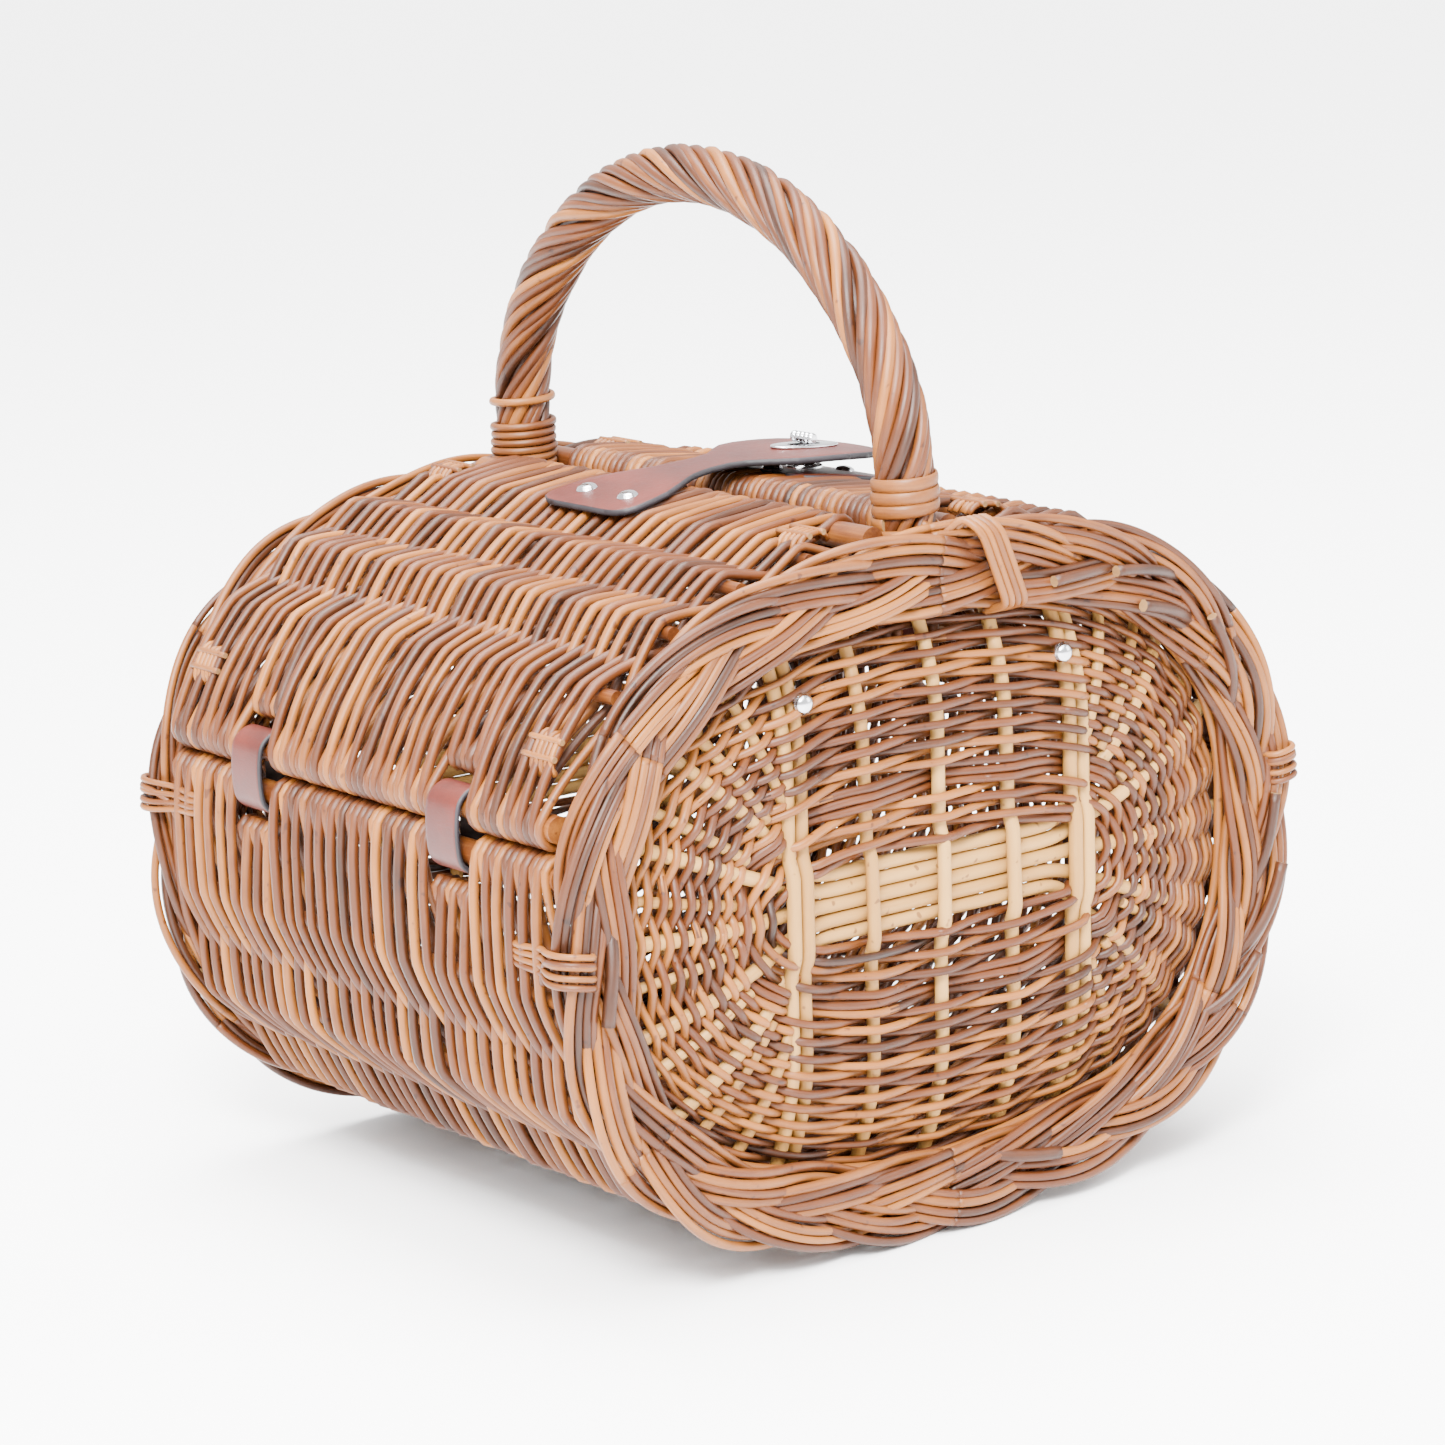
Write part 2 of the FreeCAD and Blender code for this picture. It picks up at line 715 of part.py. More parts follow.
def lock_patch():
    """A leather patch on the right lid, under the tongue of the strap."""
    skin = prism(size("lid_inset") - size("patch_leather"), -BIG, BIG)
    skin = skin.cut(prism(size("lid_inset"), -BIG, BIG))
    middle = (PATCH_LEFT + PATCH_RIGHT) / 2
    outline = block(PATCH_LEFT, PATCH_RIGHT, STRAP_Y - PATCH_HALF, STRAP_Y + PATCH_HALF, 200, 400)
    rounded = oval_prism(1.25 * (PATCH_RIGHT - PATCH_LEFT), 2.25 * PATCH_HALF, middle)
    return skin.common(outline).common(rounded)


def on_lid(x, lift):
    """A point on the right lid's outer face, raised by lift, over the strap's middle line."""
    radius = size("crown_radius") - size("lid_inset") + lift
    return Vector(x, STRAP_Y, MID_Z - CROWN_DROP + math.sqrt(radius ** 2 - x ** 2))


PATCH_RIVETS = (38.0, 78.0)


def patch_rivets():
    parts, shanks = [], []
    for x in PATCH_RIVETS:
        foot = on_lid(x, size("patch_leather"))
        normal = Vector(foot.x, 0, foot.z - MID_Z + CROWN_DROP).normalize()
        length = size("patch_leather") + size("weave_thickness") + 1.5
        body, washer, shank = rivet(foot, normal, length)
        parts += [body, washer]
        shanks.append(shank)
    return parts, shanks


patch_rivet_parts, patch_shanks = patch_rivets()
patch = lock_patch()
for shank in patch_shanks:
    patch = patch.cut(shank)

BAR_Z = above_strap(size("plate_x")) + leather + size("plate_thickness") + 0.5 + size("bar_radius")
BASE_Z = on_lid(size("plate_x"), size("patch_leather")).z + 0.3
COLLAR_TOP = above_strap(size("plate_x")) - 1.0
STEM_FIT = 0.05


def catch_base():
    """The foot of the turn catch: a round flange on the patch with a bored collar."""
    x = size("plate_x")
    flange = Part.makeCylinder(8.0, 1.4, Vector(x, STRAP_Y, BASE_Z))
    collar = Part.makeCone(4.6, 3.6, COLLAR_TOP - BASE_Z, Vector(x, STRAP_Y, BASE_Z))
    bore = Part.makeCylinder(size("stem_radius") + STEM_FIT, 20, Vector(x, STRAP_Y, BASE_Z + 1.0))
    return flange.fuse(collar).cut(bore).removeSplitter()


def turn_bar():
    """The ribbed cross bar on its stem; it lies along Y when the strap is locked."""
    x = size("plate_x")
    stem_low = BASE_Z + 1.2
    bar = Part.makeCylinder(size("stem_radius"), BAR_Z - stem_low, Vector(x, STRAP_Y, stem_low))
    ribs = 5
    step = size("bar_length") / (2 * ribs - 1)
    for k in range(2 * ribs - 1):
        radius = size("bar_radius") if k % 2 == 0 else size("bar_radius") - 0.5
        start = Vector(x, STRAP_Y - size("bar_length") / 2 + k * step, BAR_Z)
        bar = bar.fuse(Part.makeCylinder(radius, step, start, Vector(0, 1, 0)))
    return bar.removeSplitter()


keep("lock_patch", feature("lock_patch", patch))
rod_group("patch_rivets", patch_rivet_parts)
keep("catch_base", feature("catch_base", catch_base()))
keep("turn_bar", feature("turn_bar", turn_bar()))

doc.recompute()


# ---------------------------------------------------------------- woven sheets

def shapes_of(*names):
    return [nodes[name].Shape for name in names]


def tube_block(way, centre_x, centre_z, radius, half_length):
    """The round of weave that wraps a rail."""
    start = Vector(way * centre_x, -half_length, centre_z)
    return Part.makeCylinder(radius, 2 * half_length, start, Vector(0, 1, 0))


def loop_notches(way, z_low, z_high, x_middle):
    """The places where the weave steps back and leaves the rail bare for a leather loop."""
    half = size("loop_width") / 2 + size("notch_clearance")
    reach = 16.0
    tools = []
    for _, end in ENDS:
        centre = end * size("loop_offset")
        x_low, x_high = way * x_middle - reach, way * x_middle + reach
        tools.append(block(x_low, x_high, centre - half, centre + half, z_low, z_high))
    return tools


def body_wall():
    """The woven wall: open at the top, from body rail to body rail."""
    inset, rail_z = size("wall_inset"), size("body_rail_height")
    wall = prism(inset, -BORDER_BACK, BORDER_BACK)
    wall = wall.cut(prism(inset + size("weave_thickness"), -BIG, BIG))
    wall = wall.cut(block(-BIG, BIG, -BIG, BIG, rail_z, BIG))
    for _, way in SIDES:
        wrap = tube_block(way, BODY_RAIL_X, rail_z, size("wrap_radius"), PANEL_BACK)
        wall = wall.fuse(wrap)
    wall = cut_all(wall, shapes_of("body_rail_left", "body_rail_right"))
    for _, way in SIDES:
        wall = cut_all(wall, loop_notches(way, rail_z - 10, rail_z + 12, BODY_RAIL_X))
    return cut_all(wall, nodes["body_sticks"].Shape.Solids).removeSplitter()


def lid_weave(side, way):
    """The woven sheet of one lid, wrapped round its hinge rail and its top rail."""
    inset, hinge_z, top_x = size("lid_inset"), size("hinge_rail_height"), size("top_rail_offset")
    weave = prism(inset, -LID_END, LID_END).cut(prism(inset + size("weave_thickness"), -BIG, BIG))
    x_low, x_high = sorted((way * top_x, way * BIG))
    weave = weave.common(block(x_low, x_high, -BIG, BIG, hinge_z, BIG))
    weave = weave.fuse(tube_block(way, HINGE_X, hinge_z, size("wrap_radius"), PANEL_BACK - 0.6))
    weave = weave.fuse(tube_block(way, top_x, TOP_RAIL_Z, size("wrap_radius") + 0.5, WRAP_END))
    weave = cut_all(weave, shapes_of(f"lid_hinge_rail_{side}", f"lid_top_rail_{side}"))
    weave = cut_all(weave, loop_notches(way, hinge_z - 12, hinge_z + 12.5, HINGE_X))
    leg_room = top_x + size("wrap_radius") + 1.0
    for _, end in ENDS:
        y_low, y_high = sorted((end * WRAP_END, end * BIG))
        weave = weave.cut(block(-leg_room, leg_room, y_low, y_high, 0, BIG))
    return cut_all(weave, nodes[f"lid_sticks_{side}"].Shape.Solids)


wall_shape = body_wall()
keep("body_wall", feature("body_wall", wall_shape))
for side, way in SIDES:
    weave = lid_weave(side, way)
    weave = cut_all(weave, strap_shanks if way < 0 else patch_shanks)
    keep(f"lid_weave_{side}", feature(f"lid_weave_{side}", weave.removeSplitter()))


# ---------------------------------------------------------------- studs, panels and borders

def studs():
    """Two domed studs on the front panel, each closed over a washer inside the basket."""
    parts, shanks = [], []
    for way in (-1, 1):
        x, height = way * size("stud_offset"), size("stud_height") - MID_Z
        face = dome_y(x, height) + size("panel_thickness") / 2
        length = size("panel_thickness") + 2.0
        head = Part.makeSphere(size("stud_head_radius"), Vector(), Vector(0, 0, 1), 0, 90, 360)
        squash = FreeCAD.Matrix()
        squash.scale(1, 1, size("stud_head_rise") / size("stud_head_radius"))
        head = head.transformGeometry(squash)
        shank = Part.makeCylinder(size("rivet_shank_radius"), length, Vector(0, 0, -length))
        washer = Part.makeCylinder(3.6, 0.8, Vector(0, 0, -length)).cut(shank)
        body = head.fuse(shank)
        turn = Placement(Vector(x, -face - 1.0, size("stud_height")),
                         Rotation(Vector(0, 0, 1), Vector(0, -1, 0)))
        for item in (body, washer, shank):
            item.Placement = turn
        parts += [body, washer]
        shanks.append(shank)
    return parts, shanks


stud_parts, stud_shanks = studs()
rod_group("panel_studs", stud_parts)


def end_panel(place, end):
    """A domed woven panel with a window in the middle, where only the slath shows."""
    rim = BORDER_BACK
    back = PANEL_BACK
    rise = size("dome_rise")
    low, high = size("border_depth"), size("dome_flat_inset")
    slab = prism(PANEL_INSET, -rim, -back)
    outer = Part.makeLoft([oval_wire(low, -rim), oval_wire(high, -rim - rise)], True, True)
    inner = Part.makeLoft([oval_wire(low, -back), oval_wire(high, -back - rise)], True, True)
    panel = slab.fuse(outer).cut(inner)
    half_window = size("slath_window_height") / 2
    width = size("slath_half_width")
    panel = panel.cut(block(-width, width, -BIG, 0, MID_Z - half_window, MID_Z + half_window))
    if end > 0:
        panel = panel.mirror(Vector(0, 0, 0), Vector(0, 1, 0))
    for name in (f"upright_stakes_{place}", f"slath_rods_{place}", f"bye_stakes_{place}"):
        panel = cut_all(panel, nodes[name].Shape.Solids)
    panel = cut_all(panel, nodes["handle_ends"].Shape.Solids)
    if end < 0:
        panel = cut_all(panel, stud_shanks)
    return panel


def border(end):
    """A braided border: a rounded oval ring, flattened where it stands on the ground."""
    front = -HALF_LENGTH
    ring = prism(0, front, -BORDER_BACK).cut(prism(size("border_depth"), -BIG, BIG))
    front_edges = [edge for edge in ring.Edges
                   if all(abs(v.Point.y - front) < 1e-4 for v in edge.Vertexes)]
    outer_back = [edge for edge in ring.Edges
                  if all(abs(v.Point.y + BORDER_BACK) < 1e-4 for v in edge.Vertexes)
                  and oval_inset(edge.CenterOfMass.x, edge.CenterOfMass.z - MID_Z) < 10]
    ring = ring.makeFillet(size("border_round"), front_edges + outer_back)
    ring = ring.cut(block(-BIG, BIG, -BIG, BIG, -BIG, 0))
    leg = Part.makeCylinder(size("handle_radius") + size("skein_thickness") + 0.2, 100,
                            Vector(0, -size("handle_offset"), HANDLE_FOOT_Z - 12))
    ring = ring.cut(leg)
    if end > 0:
        ring = ring.mirror(Vector(0, 0, 0), Vector(0, 1, 0))
    return ring


for place, end in ENDS:
    keep(f"end_panel_{place}", feature(f"end_panel_{place}", end_panel(place, end)))
    keep(f"border_{place}", feature(f"border_{place}", border(end)))


# ---------------------------------------------------------------- willow ties

TIE_HEIGHTS = {("left", "front"): 150.0, ("left", "back"): 170.0,
               ("right", "front"): 170.0, ("right", "back"): 150.0}


def border_tie(way, end, height):
    """Loops of thin willow that lash the border to the body wall."""
    radius = size("tie_rod_radius")
    clear = radius + 0.15
    loops = []
    for k in range(4):
        z = height + (k - 1.5) * size("tie_pitch")
        up = z - MID_Z
        wall = way * (oval_x(size("wall_inset"), up) + clear)
        outer = way * (oval_x(0, up) + clear)
        inner = way * (oval_x(size("border_depth"), up) - clear)
        front = end * (HALF_LENGTH + clear)
        rear = end * (BORDER_BACK - clear)
        points = [
            Vector(wall, end * (BORDER_BACK - 22), z),
            Vector(wall, rear - end * 5, z),
            Vector(outer, rear + end * 4, z),
            Vector(outer, front, z),
            Vector(inner, front, z),
            Vector(inner, rear + end * 4, z),
        ]
        loops.append(bent_rod(points, radius, 2.6))
    return loops


for place, end in ENDS:
    loops = []
    for side, way in SIDES:
        loops += border_tie(way, end, TIE_HEIGHTS[(side, place)])
    rod_group(f"border_ties_{place}", loops)


def handle_tail():
    """The ends of the front binding, carried over the border and tucked in below it."""
    radius = size("tie_rod_radius")
    top = MID_Z + HALF_HEIGHT + radius + 0.4
    front = -HALF_LENGTH - radius - 0.15
    strands = []
    for k in range(3):
        x = 10.0 + 3.6 * k
        inner = MID_Z + oval_z(size("border_depth"), x + 24) - radius - 0.2
        points = [
            Vector(x + 6, -BORDER_BACK - 3.5, top),
            Vector(x + 9, front, top - 0.6),
            Vector(x + 24, front, inner),
            Vector(x + 25, -BORDER_BACK - 3.5, inner),
        ]
        strands.append(bent_rod(points, radius, 2.4))
    return strands


rod_group("handle_tail", handle_tail())


def corner_ties(way):
    """Short lashings across the weave at the four corners of a lid."""
    radius = size("tie_rod_radius")
    lift = size("lid_inset") - radius - 0.15
    rods = []
    for height in (size("hinge_rail_height") - MID_Z + 26, None):
        if height is None:
            x = size("top_rail_offset") + 24
            z = MID_Z + oval_z(lift, x)
        else:
            x = oval_x(lift, height)
            z = MID_Z + height
        for end in (-1, 1):
            for k in range(3):
                y = end * (LID_END - 9 - size("tie_pitch") * k)
                centre = Vector(way * x, y, z)
                slope = Vector(-way * (z - MID_Z + CROWN_DROP), 0, x)
                if height is not None:
                    slope = Vector(-way * (height - CORNER.z), 0, x - CORNER.x)
                slope.normalize()
                half = 6.0
                rods.append(Part.makeCylinder(radius, 2 * half, centre - slope * half, slope))
    return rods


for side, way in SIDES:
    rod_group(f"lid_corner_ties_{side}", corner_ties(way))

# ---------------------------------------------------------------- check and write

doc.recompute()
for item in doc.Objects:
    if "Invalid" in item.State or "Error" in item.State:
        raise RuntimeError(f"{item.Label}: {item.State}")
os.makedirs("parts", exist_ok=True)
for name, item in nodes.items():
    shape = item.Shape
    if shape.isNull() or not shape.isValid():
        raise RuntimeError(f"{name} is not a valid shape")
    if not shape.Solids:
        raise RuntimeError(f"{name} holds no solid")
for name, item in nodes.items():
    shape = item.Shape
    shape.exportStep(f"parts/{name}.step")
    box = shape.optimalBoundingBox()
    print(f"{name}: {len(shape.Solids)} solids, {shape.Volume / 1000:.1f} cm3, "
          f"x {box.XMin:.1f} {box.XMax:.1f}, y {box.YMin:.1f} {box.YMax:.1f}, "
          f"z {box.ZMin:.1f} {box.ZMax:.1f}")
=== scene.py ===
# %% [markdown]
# # A wicker picnic basket
# A barrel of woven willow with two domed end panels, plaited borders, a twisted handle and
# two curved lids that close under a leather strap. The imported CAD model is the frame: it says
# where each piece is. This script puts the visible rods, leather and metal round it.

# %% Load the frame
import math

import bpy
import numpy as np
from mathutils import Matrix, Vector


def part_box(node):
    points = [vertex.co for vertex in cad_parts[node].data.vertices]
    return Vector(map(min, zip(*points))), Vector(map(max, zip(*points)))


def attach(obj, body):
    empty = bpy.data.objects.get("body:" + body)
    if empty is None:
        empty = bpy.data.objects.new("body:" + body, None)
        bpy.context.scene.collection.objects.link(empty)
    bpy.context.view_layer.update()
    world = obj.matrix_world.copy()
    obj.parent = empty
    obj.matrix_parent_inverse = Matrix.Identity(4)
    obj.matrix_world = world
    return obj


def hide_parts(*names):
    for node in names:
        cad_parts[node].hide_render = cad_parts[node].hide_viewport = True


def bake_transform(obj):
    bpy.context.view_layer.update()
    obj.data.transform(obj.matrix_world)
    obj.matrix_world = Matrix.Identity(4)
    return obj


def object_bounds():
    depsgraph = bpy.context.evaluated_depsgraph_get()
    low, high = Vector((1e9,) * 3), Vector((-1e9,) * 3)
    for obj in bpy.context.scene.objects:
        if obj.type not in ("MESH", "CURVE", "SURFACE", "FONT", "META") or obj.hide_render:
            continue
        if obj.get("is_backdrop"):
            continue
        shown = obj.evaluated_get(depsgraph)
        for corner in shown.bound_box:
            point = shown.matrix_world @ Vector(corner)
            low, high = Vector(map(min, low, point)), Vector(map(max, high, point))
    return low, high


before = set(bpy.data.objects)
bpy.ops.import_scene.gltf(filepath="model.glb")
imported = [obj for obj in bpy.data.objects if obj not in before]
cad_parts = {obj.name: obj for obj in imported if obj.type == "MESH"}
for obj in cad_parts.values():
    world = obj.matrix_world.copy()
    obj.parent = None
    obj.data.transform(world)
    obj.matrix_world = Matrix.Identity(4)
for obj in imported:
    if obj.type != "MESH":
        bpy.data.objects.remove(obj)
bpy.context.view_layer.update()
cad_low, cad_high = (corner.copy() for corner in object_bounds())
bpy.ops.object.select_all(action="DESELECT")
print("frame", [round(v, 3) for v in (*cad_low, *cad_high)])

# %% [markdown]
# ## The basket's oval
# Every curved part follows one oval: a crown arc, a corner arc and a flank arc in each
# quarter. An arc moved inwards is still an arc, so one list of points with their outward
# normals gives the outline at any depth. The sizes below are the maker's, in metres.

# %% The oval and its normals
MM = 0.001
SIDES = (("left", -1), ("right", 1))
ENDS = (("front", -1), ("back", 1))
border_low, border_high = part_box("border_front")
HALF_WIDTH, HALF_HEIGHT = border_high.x, 150 * MM
MID_Z = border_high.z - HALF_HEIGHT
BARREL_END = -border_low.y
BORDER_BACK = -border_high.y
CROWN_RADIUS, FLANK_RADIUS, CORNER_RADIUS = 390 * MM, 600 * MM, 132 * MM


def corner_centre():
    """Centre of the corner arc that is tangent inside both the crown and the flank."""
    crown = np.array([0.0, HALF_HEIGHT - CROWN_RADIUS])
    flank = np.array([HALF_WIDTH - FLANK_RADIUS, 0.0])
    apart = np.linalg.norm(flank - crown)
    to_crown, to_flank = CROWN_RADIUS - CORNER_RADIUS, FLANK_RADIUS - CORNER_RADIUS
    along = (apart ** 2 + to_crown ** 2 - to_flank ** 2) / (2 * apart)
    line = (flank - crown) / apart
    across = np.array([line[1], -line[0]]) * math.sqrt(to_crown ** 2 - along ** 2)
    return crown + line * along + (across if across[0] > 0 else -across)


CORNER = corner_centre()
CROWN_ANGLE = math.atan2(CORNER[1] + CROWN_RADIUS - HALF_HEIGHT, CORNER[0])
FLANK_ANGLE = math.atan2(CORNER[1], CORNER[0] + FLANK_RADIUS - HALF_WIDTH)


def quarter(count=160):
    """Points and normals of the upper right quarter, from the crown down to the flank."""
    arcs = ((0.0, HALF_HEIGHT - CROWN_RADIUS, CROWN_RADIUS, math.pi / 2, CROWN_ANGLE),
            (CORNER[0], CORNER[1], CORNER_RADIUS, CROWN_ANGLE, FLANK_ANGLE),
            (HALF_WIDTH - FLANK_RADIUS, 0.0, FLANK_RADIUS, FLANK_ANGLE, 0.0))
    points, normals = [], []
    for x, z, radius, start, end in arcs:
        angle = np.linspace(start, end, count, endpoint=end == 0.0)
        normal = np.stack([np.cos(angle), np.sin(angle)], axis=1)
        points.append(np.array([x, z]) + radius * normal)
        normals.append(normal)
    return np.concatenate(points), np.concatenate(normals)


def whole_oval():
    """The outline clockwise from the crown: right side, bottom, left side."""
    whole = []
    for line in quarter():
        lower_right = line[::-1] * (1, -1)
        lower_left = line * (-1, -1)
        upper_left = line[::-1] * (-1, 1)
        whole.append(np.concatenate([line, lower_right[1:], lower_left[1:], upper_left[1:-1]]))
    return whole


OVAL, OVAL_NORMAL = whole_oval()
step = np.linalg.norm(np.roll(OVAL, -1, axis=0) - OVAL, axis=1)
print("oval round", round(step.sum(), 4), "m, longest step", round(step.max() / MM, 2), "mm")

# %% [markdown]
# ## Rods
# A wicker basket is hundreds of rods, and each is a circle swept along its own bent line.
# A curve with a bevel would do for one. Here a short mesh function does it for a whole
# bundle at once, because every rod then carries its own tone and a UV map whose V runs
# along it, and the willow finish reads both.

# %% Measure and smooth a line
random = np.random.default_rng(11)


def unit(vectors):
    """The same directions, each one metre long."""
    return vectors / np.linalg.norm(vectors, axis=-1, keepdims=True)


def reach_along(path):
    """The distance along a line at each of its points."""
    return np.concatenate([[0], np.cumsum(np.linalg.norm(np.diff(path, axis=0), axis=1))])


def columns_at(at, known, table):
    """A table's columns, each read off between its rows at the places given."""
    return np.stack([np.interp(at, known, column) for column in table.T], axis=1)


def resample(path, spacing):
    """The same line with evenly spaced points."""
    path = np.asarray(path, dtype=float)
    reach = reach_along(path)
    count = max(int(round(reach[-1] / spacing)), 2) + 1
    return columns_at(np.linspace(0, reach[-1], count), reach, path)


def soften(path, sigma, spacing):
    """Rounds a line's corners with a running average; its ends stay where they are."""
    width = int(math.ceil(3 * sigma / spacing))
    weight = np.exp(-0.5 * (np.arange(-width, width + 1) * spacing / sigma) ** 2)
    weight /= weight.sum()
    ahead = 2 * path[0] - path[width:0:-1]
    after = 2 * path[-1] - path[-2:-width - 2:-1]
    long = np.concatenate([ahead, path, after])
    return np.stack([np.convolve(column, weight, "valid") for column in long.T], axis=1)


def tangents(path, closed):
    """The line's direction at each of its points."""
    if closed:
        return unit(np.roll(path, -1, axis=0) - np.roll(path, 1, axis=0))
    return unit(np.gradient(path, axis=0))


def carried_sides(along):
    """A sideways direction at each point that turns with the line and doesn't twist."""
    first = np.cross(along[0], [0.3, 0.5, 0.8])
    sides = [first / np.linalg.norm(first)]
    for direction in along[1:]:
        side = sides[-1] - direction * np.dot(sides[-1], direction)
        sides.append(side / np.linalg.norm(side))
    return np.array(sides)


# %% [markdown]
# A rod's surface is a ring of points at every step of its line. The ring has to face along the
# line and mustn't twist from one step to the next, or the streaks of the willow would spiral.

# %% Sweep a bundle of rods
def new_piece(name, points, faces):
    """An object in the scene, made from its points and faces."""
    mesh = bpy.data.meshes.new(name)
    mesh.from_pydata(points, [], faces)
    piece = bpy.data.objects.new(name, mesh)
    bpy.context.scene.collection.objects.link(piece)
    return piece


def rod_rings(path, radius, sides, closed, lean, flat):
    """Rings of points round a line; radius is one number or one for each point."""
    along = tangents(path, closed)
    side = carried_sides(along) if lean is None else np.broadcast_to(lean, path.shape)
    over = unit(np.cross(side, along))
    side = np.cross(along, over)
    angle = np.arange(sides) * 2 * math.pi / sides
    wide = np.broadcast_to(np.asarray(radius, dtype=float), len(path))[:, None, None]
    ring = np.cos(angle)[None, :, None] * side[:, None, :]
    ring = ring + flat * np.sin(angle)[None, :, None] * over[:, None, :]
    return path[:, None, :] + wide * ring


def rod_mesh(name, rods, sides=8):
    """One mesh from many rods, with a tone for each and a UV map that runs along it."""
    points, faces, tones, uvs, smooth, slots = [], [], [], [], [], []
    start = 0
    for rod in rods:
        path, closed = np.asarray(rod["path"], dtype=float), rod.get("closed", False)
        rings = rod_rings(path, rod["radius"], sides, closed, rod.get("lean"), rod.get("flat", 1.0))
        count = len(path)
        here = np.arange(count if closed else count - 1)
        ahead = (here + 1) % count
        around = np.arange(sides)
        onward = (around + 1) % sides
        quads = np.stack([
            start + here[:, None] * sides + around, start + here[:, None] * sides + onward,
            start + ahead[:, None] * sides + onward, start + ahead[:, None] * sides + around],
            axis=2).reshape(-1, 4)
        length = reach_along(path)
        low = np.broadcast_to(length[here][:, None], (len(here), sides))
        high = np.broadcast_to((length[here] + length[1])[:, None], (len(here), sides))
        u_low = np.broadcast_to(around / sides, low.shape)
        u_high = np.broadcast_to((around + 1) / sides, low.shape)
        uv = np.stack([u_low, low, u_high, low, u_high, high, u_low, high], axis=2)
        points.append(rings.reshape(-1, 3))
        faces.extend(quads.tolist())
        uvs.append(uv.reshape(-1, 2))
        smooth.extend([True] * len(quads))
        slots.extend([0] * len(quads))
        if not closed:
            faces.append([start + k for k in reversed(range(sides))])
            faces.append([start + (count - 1) * sides + k for k in range(sides)])
            uvs.append(np.zeros((2 * sides, 2)))
            smooth.extend([False, False])
            slots.extend([1, 1])
        tones.append(np.full(count * sides, rod.get("tone", 0.5)))
        start += count * sides
    piece = new_piece(name, np.concatenate(points), faces)
    mesh = piece.data
    mesh.polygons.foreach_set("use_smooth", smooth)
    mesh.polygons.foreach_set("material_index", slots)
    tone = mesh.attributes.new("tone", "FLOAT", "POINT")
    tone.data.foreach_set("value", np.concatenate(tones).astype(np.float32))
    layer = mesh.uv_layers.new(name="rod")
    layer.data.foreach_set("uv", np.concatenate(uvs).astype(np.float32).ravel())
    mesh.update()
    print(name, len(rods), "rods,", sum(len(f) - 2 for f in faces), "triangles")
    return piece


def finish_piece(piece, body, slot, materials, *nodes):
    """Gives a piece its materials and its body and hides the CAD nodes it stands for; slot is not used.
    """
    for material in materials:
        piece.data.materials.append(material)
    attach(piece, body)
    if nodes:
        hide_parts(*nodes)
    return piece


# %% [markdown]
# ## Buff willow
# Buff willow is boiled in its bark, so each rod is a slightly different tan. The material
# takes the rod's tone first, then streaks along the rod, blotches through the basket and a
# few dark specks where buds sat. The gloss is uneven, and fine ribs run along the grain.

# %% A short way to wire a material
def linear(red, green, blue):
    """A colour given as eye values from 0 to 255, as Blender's shaders want it."""
    return tuple((c / 12.92 if c <= 0.04045 else ((c + 0.055) / 1.055) ** 2.4)
                 for c in (red / 255, green / 255, blue / 255)) + (1.0,)


class Wiring:
    """A short way to add and join the nodes of one material."""

    def __init__(self, name):
        self.material = bpy.data.materials.new(name)
        self.material.use_nodes = True
        self.nodes = self.material.node_tree.nodes
        self.links = self.material.node_tree.links
        self.shader = self.nodes["Principled BSDF"]

    def add(self, kind, **settings):
        node = self.nodes.new(f"ShaderNode{kind}")
        for key, value in settings.items():
            setattr(node, key, value)
        return node

    def join(self, source, target):
        self.links.new(source, target)

    def sum(self, *terms):
        """Adds outputs, each times its own weight."""
        total = None
        for output, weight in terms:
            step = self.add("Math", operation="MULTIPLY_ADD")
            self.join(output, step.inputs[0])
            step.inputs[1].default_value = weight
            step.inputs[2].default_value = 0.0
            if total is not None:
                self.join(total, step.inputs[2])
            total = step.outputs[0]
        return total

    def noise(self, vector, scale, detail=3.0, rough=0.55):
        node = self.add("TexNoise")
        self.join(vector, node.inputs["Vector"])
        node.inputs["Scale"].default_value = scale
        node.inputs["Detail"].default_value = detail
        node.inputs["Roughness"].default_value = rough
        return node.outputs["Fac"]

    def stretch(self, vector, scale):
        node = self.add("Mapping")
        self.join(vector, node.inputs["Vector"])
        node.inputs["Scale"].default_value = scale
        return node.outputs["Vector"]

    def ramp(self, value, *stops):
        node = self.add("ValToRGB")
        self.join(value, node.inputs["Fac"])
        band = node.color_ramp.elements
        while len(band) < len(stops):
            band.new(0.5)
        for element, (place, colour) in zip(band, stops):
            element.position = place
            element.color = colour
        return node.outputs["Color"]

    def roughness(self, value, low, high):
        node = self.add("MapRange")
        self.join(value, node.inputs["Value"])
        node.inputs["To Min"].default_value = low
        node.inputs["To Max"].default_value = high
        self.join(node.outputs["Result"], self.shader.inputs["Roughness"])

    def bump(self, height, strength, distance):
        node = self.add("Bump")
        self.join(height, node.inputs["Height"])
        node.inputs["Strength"].default_value = strength
        node.inputs["Distance"].default_value = distance
        self.join(node.outputs["Normal"], self.shader.inputs["Normal"])


# %% [markdown]
# The rod's tone also shifts the noise sideways, so that no two rods share their streaks. Rods
# that come from CAD have no tone and no UV map, so their grain is stretched along Y instead.

